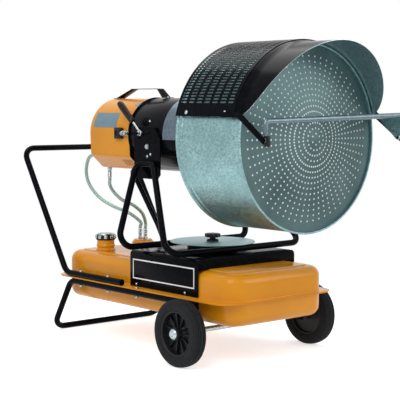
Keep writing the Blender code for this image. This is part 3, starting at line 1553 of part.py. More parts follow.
def build_side_arms():
    """Flat arms from the hood's lower corners, each with the stud that holds the front bar."""
    corner_z = head_z + hood_outer_radius * math.cos(math.radians(hood_half_angle))
    top = corner_z + arm_width * arm_lift_share
    slope = math.atan2(arm_drop, arm_end_x - arm_bend_x)
    side_step = Vector((math.sin(slope), math.cos(slope))) * arm_width
    end = Vector((arm_end_x, top - arm_drop))
    bend = Vector((arm_bend_x, top))
    outline = [(arm_rear_x, top), tuple(bend), tuple(end), tuple(end - side_step),
               tuple(bend - Vector((side_step.x, arm_width))), (arm_rear_x, top - arm_width)]
    back = Vector((math.cos(slope), -math.sin(slope))) * arm_width / 2
    stud_place = end - side_step / 2 - back
    outside = arm_y + arm_bolt_head_radius / 2
    nut = arm_y - arm_thickness / 2
    tip = arm_y - arm_thickness - 3 * seat_gap - bar_thickness - arm_bolt_head_radius
    stud = [(0.0, outside), (arm_bolt_head_radius, outside), (arm_bolt_head_radius, nut),
            (arm_bolt_radius, nut), (arm_bolt_radius, tip), (0.0, tip)]
    for prefix, side in (("near", -1), ("far", 1)):
        arm = plate(prefix + "_arm", [outline], arm_thickness,
                    (0.0, side * (arm_y - arm_thickness / 2), 0.0), head, black_enamel, "XZ")
        bolt = turned(prefix + "_arm_stud", facing(stud, side), (stud_place.x, 0.0, stud_place.y),
                      head, black_enamel, "Y", steps=12)
        apply_boolean(arm, make_cutter(bolt), "UNION")
    return stud_place


def build_crossbar(stud_place):
    """The flat bar across the dish: a leg down to the near stud, a wing plate at the far one."""
    inner_y = arm_y - arm_thickness - seat_gap - bar_thickness / 2
    low = stud_place.y - bar_width / 2
    slope = (bar_far_z - bar_near_z) / (2 * inner_y)
    near_corner = (-inner_y + bar_corner, bar_near_z + slope * bar_corner)
    points = [(-inner_y, low), (-inner_y, bar_near_z - bar_corner), near_corner,
              (inner_y, bar_far_z), (inner_y, low)]
    bar = folded_sheet("front_crossbar", points, bar_width, bar_thickness,
                       (stud_place.x, 0.0, 0.0), head, galvanised, along="X")
    front = bar_width / 2 - merge_distance
    outline = [(front, low), (front, bar_far_z), (-wing_length, bar_far_z - bar_corner / 2)]
    wing = plate("crossbar_wing", [outline], wing_thickness, (stud_place.x, inner_y, 0.0), head,
                 galvanised, "XZ")
    apply_boolean(bar, make_cutter(wing), "UNION")
    reach = arm_y + cut_overrun
    hole = turned("bar_hole", rod_profile(arm_bolt_radius + seat_gap, reach, -reach),
                  (stud_place.x, 0.0, stud_place.y), head, black_enamel, "Y", steps=12)
    apply_boolean(bar, make_cutter(hole))


def build():
    rail_holes = vertical_holes("rail_holes", rail_bolt_places(),
                                bolt_radius + seat_gap, foot_rail_z - tube_radius,
                                handle_rail_z + tube_radius, cart)
    build_tank(rail_holes)
    build_filler()
    lower_ends = build_pickup()
    build_hoses(lower_ends)
    build_rails(rail_holes)
    build_flange_bolts()
    build_saddle()
    build_turntable()
    build_wheel("near", near_wheel, -1)
    build_wheel("far", far_wheel, 1)
    build_axle()
    build_stand_tubes()
    build_side_plates()
    build_brace()
    build_lever()
    build_housing()
    build_flange_disc()
    build_cover()
    build_burner_fittings()
    build_carry_handle()
    build_burner_parts()
    build_fan()
    build_controls()
    build_heat_shield()
    build_drum()
    build_dish()
    build_grille()
    build_visor()
    build_crossbar(build_side_arms())


build()
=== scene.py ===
import json
import math

import bmesh
import bpy
from mathutils import Matrix, Vector


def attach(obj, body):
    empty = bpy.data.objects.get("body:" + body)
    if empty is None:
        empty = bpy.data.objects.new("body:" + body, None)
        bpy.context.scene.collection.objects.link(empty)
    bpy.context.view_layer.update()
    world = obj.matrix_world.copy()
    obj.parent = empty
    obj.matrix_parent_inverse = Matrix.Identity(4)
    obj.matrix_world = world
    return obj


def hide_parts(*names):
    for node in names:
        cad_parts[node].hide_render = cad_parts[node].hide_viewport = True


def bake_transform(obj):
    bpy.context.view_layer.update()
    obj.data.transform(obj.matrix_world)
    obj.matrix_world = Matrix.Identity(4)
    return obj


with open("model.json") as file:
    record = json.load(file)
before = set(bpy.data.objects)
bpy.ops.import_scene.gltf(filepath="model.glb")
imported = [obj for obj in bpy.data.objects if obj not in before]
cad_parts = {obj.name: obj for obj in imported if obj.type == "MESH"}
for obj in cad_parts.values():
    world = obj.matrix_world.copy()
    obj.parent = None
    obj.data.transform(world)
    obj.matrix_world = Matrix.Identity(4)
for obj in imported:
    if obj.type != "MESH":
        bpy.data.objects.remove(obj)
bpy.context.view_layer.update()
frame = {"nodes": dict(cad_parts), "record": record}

bpy.ops.object.select_all(action="DESELECT")

# Heater coordinates start at the swivel axis, which lies this far forward of the frame's origin
swivel_x = 0.12425
head_z = 0.836
nodes = frame["nodes"]
record = frame["record"]
slot_of = {subpart["node"]: subpart["material_slot"] for subpart in record["subparts"]}
body_of = {name: body for body, names in record["behaviour"]["bodies"].items() for name in names}


# Finishes

def linear(hex_colour):
    """The linear values of an sRGB colour written as #RRGGBB."""
    values = []
    for start in (1, 3, 5):
        channel = int(hex_colour[start:start + 2], 16) / 255
        values.append(channel / 12.92 if channel <= 0.04045 else ((channel + 0.055) / 1.055) ** 2.4)
    return (*values, 1.0)


def add_node(tree, kind, inputs=None, **settings):
    """Add a node with its settings; an input is a value or another node's output."""
    item = tree.nodes.new("ShaderNode" + kind)
    for name, value in settings.items():
        setattr(item, name, value)
    for name, value in (inputs or {}).items():
        if isinstance(value, bpy.types.NodeSocket):
            tree.links.new(value, item.inputs[name])
        else:
            item.inputs[name].default_value = value
    return item


def add_math(tree, operation, *values):
    """A sum, product or other operation on values or outputs."""
    return add_node(tree, "Math", dict(enumerate(values)), operation=operation).outputs["Value"]


def add_ramp(tree, factor, stops):
    """A colour ramp over a factor, with stops of (position, hex colour)."""
    ramp = add_node(tree, "ValToRGB", {"Fac": factor})
    points = ramp.color_ramp.elements
    while len(points) < len(stops):
        points.new(0.5)
    for point, (position, colour) in zip(points, stops):
        point.position = position
        point.color = linear(colour)
    return ramp.outputs["Color"]


def add_range(tree, value, low, high, start=0.0, end=1.0):
    """Map a 0 to 1 value onto another range."""
    inputs = {"Value": value, "From Min": start, "From Max": end, "To Min": low, "To Max": high}
    return add_node(tree, "MapRange", inputs).outputs["Result"]


def add_noise(tree, place, scale, detail=3.0, roughness=0.5):
    inputs = {"Vector": place, "Scale": scale, "Detail": detail, "Roughness": roughness}
    return add_node(tree, "TexNoise", inputs).outputs["Fac"]


def add_bump(tree, height, distance, strength=1.0):
    inputs = {"Height": height, "Distance": distance, "Strength": strength}
    return add_node(tree, "Bump", inputs).outputs["Normal"]


def new_finish(name, values=None):
    """A material with its shader, given plain settings, and Object coordinates for patterns."""
    material = bpy.data.materials.new(name)
    material.use_nodes = True
    tree = material.node_tree
    shader = tree.nodes["Principled BSDF"]
    for socket, value in (values or {}).items():
        shader.inputs[socket].default_value = value
    place = add_node(tree, "TexCoord").outputs["Object"]
    return material, tree, shader, place


def connect(tree, shader, **sources):
    """Link node outputs to shader inputs, named with underscores for spaces."""
    for name, source in sources.items():
        tree.links.new(source, shader.inputs[name.replace("_", " ").title()])


def coating(name, colours, tone, rough, peel=None, values=None, stops=(0.3, 0.7)):
    """A finish made of noises, each given as (scale, detail, roughness).

    tone mixes the two colours, rough is a noise with its low and high roughness, and peel is a
    noise with the distance and strength of its bump; values are plain shader settings.
    """
    material, tree, shader, place = new_finish(name, values)
    kinds = [tone] + [part[0] for part in (rough, peel) if part]
    noises = {kind: add_noise(tree, place, *kind) for kind in dict.fromkeys(kinds)}
    connect(tree, shader, base_color=add_ramp(tree, noises[tone], list(zip(stops, colours))))
    if rough:
        connect(tree, shader, roughness=add_range(tree, noises[rough[0]], *rough[1:]))
    if peel:
        connect(tree, shader, normal=add_bump(tree, noises[peel[0]], *peel[1:]))
    return material


def galvanised_sheet():
    """Galvanised sheet: flat grey-green zinc with small spangle crystals and soft streaks."""
    material, tree, shader, place = new_finish("galvanised_spangled_sheet", {"Metallic": 0.85})
    crystals = add_node(tree, "TexVoronoi", {"Vector": place, "Scale": 190.0})
    shade = add_node(tree, "SeparateColor", {"Color": crystals.outputs["Color"]}).outputs["Red"]
    streaks = add_noise(tree, place, 9.0, 5.0)
    mix = add_math(tree, "MULTIPLY_ADD", shade, streaks, 0.18)
    connect(tree, shader, base_color=add_ramp(tree, mix, [(0.1, "#6C8D90"), (0.75, "#9CC0C2")]),
        roughness=add_range(tree, shade, 0.3, 0.46), normal=add_bump(tree, shade, 0.00006, 0.35))
    return material


def moulded_plastic(name, dark, light, roughness):
    """Satin moulded plastic with a fine spark-eroded grain."""
    grain = (850.0, 2.0)
    return coating(name, (dark, light), (30.0, 4.0), (grain, roughness - 0.06, roughness + 0.08),
        (grain, 0.00005, 0.5), {"Specular IOR Level": 0.25})


def braided_cover():
    """Braided steel hose cover: two crossing sets of strands along the hose's own UV map."""
    material, tree, shader, _ = new_finish("braided_steel_hose", {"Metallic": 0.7})
    lay = add_node(tree, "UVMap").outputs["UV"]
    sets = []
    for turn in (55.0, -55.0):
        turned = add_node(tree, "Mapping", {"Vector": lay, "Rotation": (0, 0, math.radians(turn))})
        strands = add_node(tree, "TexWave", {"Vector": turned.outputs["Vector"], "Scale": 120.0})
        sets.append(strands.outputs["Fac"])
    weave = add_math(tree, "MAXIMUM", *sets)
    connect(tree, shader, base_color=add_ramp(tree, weave, [(0.35, "#5E7A70"), (0.9, "#A9C4BB")]),
        roughness=add_range(tree, weave, 0.5, 0.32), normal=add_bump(tree, weave, 0.0006, 0.6))
    return material


def plain_metal(name, dark, light, roughness):
    """Cast or turned metal with a slight mottle."""
    mottle = (90.0, 4.0)
    return coating(name, (dark, light), mottle, (mottle, roughness - 0.08, roughness + 0.08),
        (mottle, 0.0001, 0.4), {"Metallic": 1.0})


def bare_foil():
    """A bare metallised foil label: dull blue-grey with fine brushing along its length."""
    material, tree, shader, place = new_finish("metallised_label_foil", {"Metallic": 0.35})
    brushed = add_node(tree, "Mapping", {"Vector": place, "Scale": (30.0, 900.0, 900.0)})
    lines = add_noise(tree, brushed.outputs["Vector"], 1.0, 3.0)
    connect(tree, shader, base_color=add_ramp(tree, lines, [(0.3, "#5C7986"), (0.7, "#7C96A0")]),
        roughness=add_range(tree, lines, 0.38, 0.52))
    return material


# Gloss yellow-orange stove enamel: slight orange peel, faint cloudiness
yellow = coating("yellow_gloss_enamel", ("#D88A10", "#E4961A"), (5.0, 4.0), ((30.0,), 0.16, 0.3),
    ((420.0, 2.0), 0.00006, 0.5), {"Specular IOR Level": 0.2, "Coat Weight": 0.08,
    "Coat Roughness": 0.06})
# Gloss black enamel with a bluish cast, fine peel and a little dust
black = coating("black_gloss_enamel", ("#07080C", "#12141B"), (60.0, 6.0, 0.6),
    ((25.0,), 0.12, 0.22), ((500.0, 2.0), 0.00003, 0.4), {"Specular IOR Level": 0.03}, (0.45, 0.75))
galvanised = galvanised_sheet()
# Bright zinc plating, faintly blue and blotchy
zinc = coating("bright_zinc_plating", ("#98A3A8", "#C2CACD"), (120.0, 4.0),
    ((120.0, 4.0), 0.18, 0.36), ((900.0,), 0.00003, 0.4), {"Metallic": 1.0})
# Heat-resistant dish sheet: dull grey-green, slightly clouded by heat
dish_metal = coating("heat_dulled_dish_steel", ("#44585A", "#586E6F"), (7.0, 5.0),
    ((7.0, 5.0), 0.38, 0.52), ((260.0,), 0.00005, 0.4), {"Metallic": 0.9})
# Pale ceramic fibre board behind the dish, seen through its holes
backing = coating("pale_ceramic_board", ("#E6EFEC", "#FBFEFD"), (340.0, 4.0), None,
    ((340.0, 4.0), 0.0003, 0.4), {"Roughness": 0.9})
# Matt black rubber, dusty in its grooves
rubber = coating("matt_tyre_rubber", ("#121316", "#222327"), (45.0, 6.0, 0.65),
    ((45.0, 6.0, 0.65), 0.62, 0.82), ((700.0,), 0.00012, 0.5), {"Specular IOR Level": 0.2},
    (0.4, 0.8))
black_plastic = moulded_plastic("black_moulded_plastic", "#0E0F12", "#1B1C20", 0.42)
brown_plastic = moulded_plastic("brown_phenolic_grip", "#150807", "#25100C", 0.24)
braid = braided_cover()
cast = plain_metal("die_cast_aluminium", "#8C8F91", "#B0B3B4", 0.45)
copper = plain_metal("turned_copper", "#B5704A", "#D99A72", 0.28)
tinted = plain_metal("heat_tinted_tube", "#5C605E", "#7E8482", 0.4)
# Bright chromium plate, nearly a mirror, with faint handling haze
chrome = coating("bright_chromium_plate", ("#8D969A", "#B2B9BC"), (70.0, 4.0),
    ((70.0, 4.0), 0.06, 0.16), values={"Metallic": 1.0})
bar_zinc = plain_metal("dull_zinc_bar", "#56666D", "#76868D", 0.34)
shield_sheet = plain_metal("rolled_aluminised_sheet", "#55646F", "#6E7C87", 0.36)
# Galvanised lining for the inside of the visor, lighter than the drum's galvanised sheet: painted
# light on the shaded underside
visor_lining_painted_light = plain_metal("galvanised_lining_painted_light", "#9DB4B8", "#BDD0D3", 0.3)
# Matt white screen paint on the black sheet, a little uneven
white_paint = coating("white_screen_paint", ("#E6E7E8", "#FBFBFB"), (140.0, 4.0),
    ((140.0, 4.0), 0.4, 0.55), ((140.0, 4.0), 0.00004, 0.4))
label_foil = bare_foil()

slot_finish = {"yellow_enamel": yellow, "black_enamel": black, "galvanised_steel": galvanised,
    "zinc_plated_steel": zinc, "heat_tinted_steel": tinted, "black_rubber": rubber,
    "black_plastic": black_plastic, "brown_plastic": brown_plastic, "braided_steel": braid,
    "brass_nozzle": copper, "cast_aluminium": cast}
for node_name, slot_name in slot_of.items():
    nodes[node_name].data.materials.clear()
    nodes[node_name].data.materials.append(slot_finish[slot_name])


# Modelling helpers

seam_merge = 0.00001


def set_mode(mode):
    """Switch the active object to OBJECT or EDIT mode."""
    if not bpy.context.mode.startswith(mode):
        bpy.ops.object.mode_set(mode=mode)


def activate(piece):
    """Make a piece the active object, selected."""
    piece.select_set(True)
    bpy.context.view_layer.objects.active = piece


def deselect():
    """In object mode, select nothing."""
    bpy.ops.object.select_all(action="DESELECT")


def finish(piece, name, *finishes, smooth=35.0):
    """Name a modelled piece, put its place into its mesh, give it its finishes and smooth it."""
    set_mode("OBJECT")
    piece.name = name
    piece.data.materials.clear()
    for material in finishes:
        piece.data.materials.append(material)
    activate(piece)
    bpy.ops.object.transform_apply(location=True, rotation=True, scale=True)
    bpy.ops.object.shade_smooth_by_angle(angle=math.radians(smooth))
    deselect()
    return piece


def apply_modifier(piece, kind, **settings):
    """Add a modifier with its settings and apply it."""
    set_mode("OBJECT")
    bpy.context.view_layer.objects.active = piece
    modifier = piece.modifiers.new(kind.lower(), kind)
    for name, value in settings.items():
        setattr(modifier, name, value)
    bpy.ops.object.modifier_apply(modifier=modifier.name)


def round_edges(piece, width, segments):
    """Round a piece's sharp edges."""
    apply_modifier(piece, "BEVEL", width=width, segments=segments, limit_method="ANGLE")


def give_wall(piece, thickness, offset=-1.0, **settings):
    """Give a piece made as one surface the wall of its sheet."""
    apply_modifier(piece, "SOLIDIFY", thickness=thickness, offset=offset, **settings)


def pick(kind, test):
    """In edit mode, select the vertices, edges or faces that pass a test."""
    bpy.ops.mesh.select_mode(type=kind)
    bpy.ops.mesh.select_all(action="DESELECT")
    work = bmesh.from_edit_mesh(bpy.context.active_object.data)
    for item in {"VERT": work.verts, "EDGE": work.edges, "FACE": work.faces}[kind]:
        if test(item):
            item.select_set(True)
    bmesh.update_edit_mesh(bpy.context.active_object.data)


def pick_all():
    """In edit mode, select everything."""
    bpy.ops.mesh.select_all(action="SELECT")


def extrude(step):
    """In edit mode, extrude what is selected along a vector."""
    bpy.ops.mesh.extrude_region_move(TRANSFORM_OT_translate={"value": step})


def bevel_edges(offset, segments):
    """In edit mode, round the selected edges."""
    bpy.ops.mesh.bevel(offset=offset, segments=segments, affect="EDGES")


def cut_away(test):
    """In edit mode, delete the faces that pass a test."""
    pick("FACE", test)
    bpy.ops.mesh.delete(type="FACE")


def turn_out():
    """In edit mode, make all faces point outwards."""
    pick_all()
    bpy.ops.mesh.normals_make_consistent(inside=False)


def merge_and_turn_out():
    """In edit mode, close seams and make all faces point outwards."""
    pick_all()
    bpy.ops.mesh.remove_doubles(threshold=seam_merge)
    turn_out()


def draw_line(points, fill=False):
    """Extrude one vertex from point to point; the object is left in edit mode, all selected."""
    bpy.ops.mesh.primitive_plane_add(size=1.0)
    set_mode("EDIT")
    bpy.ops.mesh.select_mode(type="VERT")
    bpy.ops.mesh.merge(type="CENTER")
    bpy.ops.transform.translate(value=points[0])
    for first, second in zip(points, points[1:]):
        step = Vector(second) - Vector(first)
        extrude(step)
    pick_all()
    if fill:
        bpy.ops.mesh.edge_face_add()
    return bpy.context.active_object


def round_corners(points, radius, steps):
    """Replace each inner corner of a path by an arc, as wide as its sides allow."""
    points = [Vector(point) for point in points]
    radii = radius if isinstance(radius, (list, tuple)) else [radius] * (len(points) - 2)
    path = [points[0]]
    for before, corner, after, bend in zip(points, points[1:], points[2:], radii):
        back = before - corner
        ahead = after - corner
        half = back.angle(ahead) / 2
        reach = min(bend / math.tan(half), back.length * 0.45, ahead.length * 0.45)
        start = corner + back.normalized() * reach
        end = corner + ahead.normalized() * reach
        inward = (back.normalized() + ahead.normalized()).normalized()
        middle = corner + inward * reach / math.cos(half)
        arm = start - middle
        normal = arm.cross(end - middle)
        if normal.length < seam_merge ** 2:
            path.append(corner)
            continue
        swing = arm.angle(end - middle)
        for step in range(steps + 1):
            path.append(middle + Matrix.Rotation(swing * step / steps, 3, normal) @ arm)
    return path + [points[-1]]


up = Vector((0, 0, 1.0))
turn_axes = {"X": (Vector((1, 0, 0)), up), "Y": (Vector((0, 1, 0)), up),
    "Z": (up, Vector((1, 0, 0)))}


def lathe(name, profile, centre, material, axis="Z", steps=64, soft=0.0, smooth=35.0):
    """Spin a profile of (radius, height) points about an axis; one clear of the axis is closed."""
    along, out = turn_axes[axis]
    if profile[0][0] and profile[-1][0]:
        profile = profile + profile[:1]
    line = [Vector((radius, height, 0)) for radius, height in profile]
    if soft:
        line = round_corners(line, soft, 2)
    points = [Vector(centre) + out * point.x + along * point.y for point in line]
    piece = draw_line(points)
    bpy.ops.mesh.spin(steps=steps, angle=2 * math.pi, center=centre, axis=along)
    merge_and_turn_out()
    return finish(piece, name, material, smooth=smooth)


def ring_section(inner, outer, low, high):
    """The profile of a flat ring."""
    return [(inner, high), (inner, low), (outer, low), (outer, high)]


def pin_section(radius, low, high):
    """The profile of a plain pin."""
    return [(0, low), (radius, low), (radius, high), (0, high)]


def bent_tube(name, points, bends, radius, material):
    """A tube drawn as a line with rounded bends, given a round section with closed ends."""
    path = round_corners(points, bends, 9) if len(points) > 2 else points
    piece = draw_line(path)
    set_mode("OBJECT")
    bpy.ops.object.convert(target="CURVE")
    piece = bpy.context.active_object
    piece.data.bevel_depth = radius
    piece.data.bevel_resolution = 9
    piece.data.use_fill_caps = True
    bpy.ops.object.convert(target="MESH")
    piece = bpy.context.active_object
    set_mode("EDIT")
    merge_and_turn_out()
    return finish(piece, name, material, smooth=45.0)


def strip(name, points, width, thickness, material, bends, edge):
    """A bent strip of sheet: a line pulled out sideways by a vector, then given its wall."""
    piece = draw_line(round_corners(points, bends, 6))
    extrude(width)
    turn_out()
    give_wall(piece, thickness, 0, use_even_offset=True)
    round_edges(piece, edge, 2)
    return finish(piece, name, material)


def slab(name, outline, depth, material, edge=0.0008, segments=3):
    """A flat outline filled, pulled out along a vector and softened at its edges."""
    piece = draw_line(outline, fill=True)
    extrude(depth)
    merge_and_turn_out()
    round_edges(piece, edge, segments)
    return finish(piece, name, material)


def box(size, centre):
    """A plain box with its size and place put into its mesh."""
    bpy.ops.mesh.primitive_cube_add(size=1.0, location=centre)
    piece = bpy.context.active_object
    piece.scale = size
    bpy.ops.object.transform_apply(location=True, rotation=True, scale=True)
    return piece


def block(name, size, centre, material, edge=0.001, segments=3):
    """A box with softened edges."""
    piece = box(size, centre)
    round_edges(piece, edge, segments)
    return finish(piece, name, material)


def hex_head(name, across, height, centre, axis, material, dome=0.0):
    """A six-sided bolt head or nut with its corners turned down."""
    bpy.ops.mesh.primitive_cylinder_add(vertices=6, radius=across / math.sqrt(3), depth=height)
    piece = bpy.context.active_object
    set_mode("EDIT")
    pick("FACE", lambda face: abs(face.normal.z) > 0.9)
    bpy.ops.mesh.inset(thickness=across * 0.04, depth=height * 0.08)
    if dome:
        bpy.ops.mesh.inset(thickness=across * 0.2, depth=dome)
    set_mode("OBJECT")
    round_edges(piece, across * 0.02, 2)
    along = turn_axes[axis][0]
    piece.rotation_euler = along.to_track_quat("Z", "Y").to_euler()
    piece.location = centre
    return finish(piece, name, material)


def add_object(name, data):
    """An object of the given data, linked to the scene."""
    item = bpy.data.objects.new(name, data)
    bpy.context.scene.collection.objects.link(item)
    return item


def copy_at(piece, name, turn):
    """Copy a finished piece with its own mesh, with a matrix put into the mesh."""
    twin = piece.copy()
    twin.data = piece.data.copy()
    twin.name = name
    bpy.context.scene.collection.objects.link(twin)
    twin.data.transform(turn)
    return twin


def join(name, pieces):
    """Join finished pieces into one object."""
    for piece in pieces:
        piece.select_set(True)
    activate(pieces[0])
    bpy.ops.object.join()
    pieces[0].name = name
    deselect()
    return pieces[0]


def turned_copies(piece, name, count, centre, axis):
    """Copies of a piece spaced evenly round an axis, joined with it."""
    copies = [piece]
    for index in range(1, count):
        turn = Matrix.Rotation(2 * math.pi * index / count, 4, turn_axes[axis][0])
        move = Matrix.Translation(centre)
        copies.append(copy_at(piece, f"{name}_{index}", move @ turn @ move.inverted()))
    return join(name, copies)


def soften(node_name, width):
    """Join a CAD node's loose triangles and round its sharp edges."""
    piece = nodes[node_name]
    weld = piece.modifiers.new("weld", "WELD")
    weld.merge_threshold = seam_merge
    bevel = piece.modifiers.new("edges", "BEVEL")
    bevel.width = width
    bevel.segments = 2
    bevel.limit_method = "ANGLE"


def at(x, y, z):
    """A place in heater coordinates, moved to the frame's origin."""
    return Vector((x + swivel_x, y, z))


def stand_for(piece, node_name):
    """Let a finished piece replace a CAD node and ride on that node's body."""
    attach(piece, body_of[node_name])
    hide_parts(node_name)


def carry(piece, body):
    """Let a small extra piece ride on a body."""
    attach(piece, body)


def mirrored(points):
    """Points on one side, then the same on the other side in reverse order."""
    return points + [Vector((point.x, -point.y, point.z)) for point in reversed(points)]


both_sides = (("near", -1), ("far", 1))


# Fuel tank

tank_length = 1.06
tank_width = 0.49
tank_middle = at(-0.14, 0, 0)
tank_wall = 0.0022
corner_radius = 0.075
rim_radius = 0.038
flange_growth = (1.02264, 1.20408, 1.0)


def tank_half(name, seam_z, end_z, raised_pad):
    """A pressed tank half: a rounded box with an open seam side and a flange around it."""
    outward = 1.0 if end_z > seam_z else -1.0
    height = abs(end_z - seam_z)
    piece = box((tank_length, tank_width, height), tank_middle + up * ((seam_z + end_z) / 2))
    set_mode("EDIT")
    pick("EDGE", lambda edge: abs(edge.verts[0].co.z - edge.verts[1].co.z) > height / 2)
    bevel_edges(corner_radius, 10)
    pick("FACE", lambda face: face.normal.z * outward > 0.9)
    bpy.ops.mesh.region_to_loop()
    bevel_edges(rim_radius, 8)
    if raised_pad:
        pick("FACE", lambda face: face.normal.z * outward > 0.999)
        bpy.ops.mesh.inset(thickness=0.01)
        bpy.ops.mesh.inset(thickness=0.004, depth=0.004)
    cut_away(lambda face: face.normal.z * outward < -0.9)
    pick("EDGE", lambda edge: all(abs(vert.co.z - seam_z) < seam_merge for vert in edge.verts))
    bpy.ops.mesh.extrude_region_move()
    bpy.ops.transform.resize(value=flange_growth, center_override=tank_middle)
    pick("EDGE", lambda edge: all(abs(vert.co.z - seam_z) < seam_merge for vert in edge.verts)
        and len(edge.link_faces) == 2 and any(abs(face.normal.z) < 0.5 for face in edge.link_faces))
    bevel_edges(0.006, 4)
    merge_and_turn_out()
    pick_all()
    work = bmesh.from_edit_mesh(piece.data)
    lid = max(work.faces, key=lambda face: face.calc_center_median().z * outward)
    if lid.normal.z * outward < 0:
        bpy.ops.mesh.flip_normals()
    give_wall(piece, tank_wall, use_even_offset=True)
    round_edges(piece, 0.0008, 2)
    return finish(piece, name, yellow, smooth=40.0)


stand_for(tank_half("tank_upper", 0.24535, 0.344, True), "tank_upper_shell")
stand_for(tank_half("tank_lower", 0.24065, 0.152, False), "tank_lower_shell")

filler = at(-0.52, -0.14, 0)
neck = lathe("filler_neck_pressing", [(0.033, 0.3983), (0.033, 0.3483), (0.042, 0.3483),
    (0.0405, 0.3515), (0.0365, 0.3545), (0.0355, 0.36), (0.0385, 0.3645), (0.0392, 0.3685),
    (0.0375, 0.3725), (0.0355, 0.376), (0.0362, 0.381), (0.0362, 0.3983)], filler, yellow,
    soft=0.002)
stand_for(neck, "filler_neck")


def cap_with_grip():
    """A chromed filler cap: a dished crown on a skirt with ten grip lobes, black between them."""
    crown = lathe("cap_crown", [(0, 0.4212), (0.02, 0.421), (0.03, 0.4196), (0.0375, 0.416),
        (0.0395, 0.413), (0.038, 0.412), (0, 0.412)], filler, chrome, soft=0.003)
    body = lathe("cap_skirt", [(0, 0.4128), (0.0385, 0.4128), (0.0405, 0.411), (0.0405, 0.3925),
        (0.0395, 0.3915), (0.037, 0.3915), (0.037, 0.4005), (0, 0.4005)], filler, black_plastic,
        soft=0.001)
    lobe = block("cap_lobe", (0.012, 0.0155, 0.015), filler + Vector((0.0395, 0, 0.404)), chrome,
        edge=0.0042, segments=4)
    lobes = turned_copies(lobe, "cap_lobe", 10, filler, "Z")
    return join("filler_cap_chromed", [crown, body, lobes])


stand_for(cap_with_grip(), "filler_cap")

pickup = at(-0.555, 0.085, 0)
flange = lathe("pickup_ring", [(0.036, 0.3483), (0.047, 0.3483), (0.0468, 0.364), (0.045, 0.3668),
    (0.0415, 0.3686), (0.04, 0.3703), (0.04, 0.3743), (0, 0.3743), (0, 0.37), (0.036, 0.369)],
    pickup, yellow, soft=0.0012)
stand_for(flange, "pickup_flange")
plate_screw = lathe("pickup_screw", [(0, 0.3772), (0.0022, 0.3768), (0.0036, 0.3752),
    (0.0038, 0.3744), (0, 0.3744)], pickup + Vector((0.033, 0, 0)), zinc, steps=20)
carry(turned_copies(plate_screw, "pickup_screws", 5, pickup, "Z"), "cart")


# Hoses and their crimped ends

def hose_end(name, place, axis, side):
    """A crimped hose end: a hexagonal nut, a neck and a ribbed ferrule."""
    ferrule = [(0, 0.0125), (0.0062, 0.0125), (0.0062, 0.0155), (0.0086, 0.017), (0.0089, 0.02),
        (0.0083, 0.0215), (0.0089, 0.023), (0.0089, 0.0265), (0.0083, 0.028), (0.0089, 0.0295),
        (0.0089, 0.033), (0.0083, 0.0345), (0.0089, 0.036), (0.0089, 0.043), (0.008, 0.0458),
        (0, 0.0458)]
    sleeve = lathe(name + "_ferrule", [(radius, side * height) for radius, height in ferrule],
        place, zinc, axis, steps=32)
    along = turn_axes[axis][0]
    nut = hex_head(name + "_nut", 0.0185, 0.012, Vector(place) + along * side * 0.0062, axis, zinc)
    return join(name, [sleeve, nut])


dip_pipe = [(0, 0.374), (0.005, 0.374), (0.005, 0.1745), (0, 0.1742)]
for node_name, offset in (("feed_pickup", -0.018), ("return_pickup", 0.018)):
    place = pickup + Vector((offset, 0, 0))
    end = hose_end(node_name + "_end", place + up * 0.3746, "Z", 1.0)
    pipe = lathe(node_name + "_pipe", dip_pipe, place, zinc, steps=20)
    stand_for(join(node_name + "_fitting", [end, pipe]), node_name)
feed_top = at(-0.6779, -0.059, 0.742)
return_top = at(-0.6003, -0.059, 0.6434)
stand_for(hose_end("feed_inlet_fitting", feed_top + Vector((0.0463, 0, 0)), "X", -1.0),
    "feed_inlet")
stand_for(hose_end("return_outlet_fitting", return_top + up * 0.0463, "Z", -1.0), "return_outlet")

hose_radius = 0.0075
hose_sides = 16
feed_low = pickup + Vector((-0.018, 0, 0.4209))
return_low = pickup + Vector((0.018, 0, 0.4209))
feed_shares = ((0.371, 0.241, 0.206), (0.943, 0.483, 0.284), (1.543, 0.69, 0.396),
    (1.952, 0.862, 0.574), (2.02, 0.945, 0.76), (1.752, 0.986, 0.938))
return_shares = ((-0.111, 0.161, 0.311), (0.095, 0.42, 0.468), (0.571, 0.7, 0.58),
    (0.952, 0.888, 0.738))


def smooth_route(points, steps):
    """Points on a smooth curve through the given ones."""
    ends = [points[0] * 2 - points[1]] + points + [points[-1] * 2 - points[-2]]
    route = []
    for before, first, second, after in zip(ends, ends[1:], ends[2:], ends[3:]):
        for step in range(steps):
            share = step / steps
            bend = before * 2 - first * 5 + second * 4 - after
            pull = (second - before) * share + bend * share ** 2
            route.append((first * 2 + pull
                + (first * 3 - before - second * 3 + after) * share ** 3) / 2)
    return route + [points[-1]]


def add_ring_faces(work, rows, lengths):
    """Join rings of vertices by faces, with the distance around and along on the UV map."""
    lay = work.loops.layers.uv.new("lay")
    arc = 2 * math.pi * hose_radius / hose_sides
    for row in range(len(rows) - 1):
        for side in range(hose_sides):
            corners = ((side, row), (side + 1, row), (side + 1, row + 1), (side, row + 1))
            face = work.faces.new([rows[ahead][turn % hose_sides] for turn, ahead in corners])
            for loop, (turn, ahead) in zip(face.loops, corners):
                loop[lay].uv = (turn * arc, lengths[ahead])


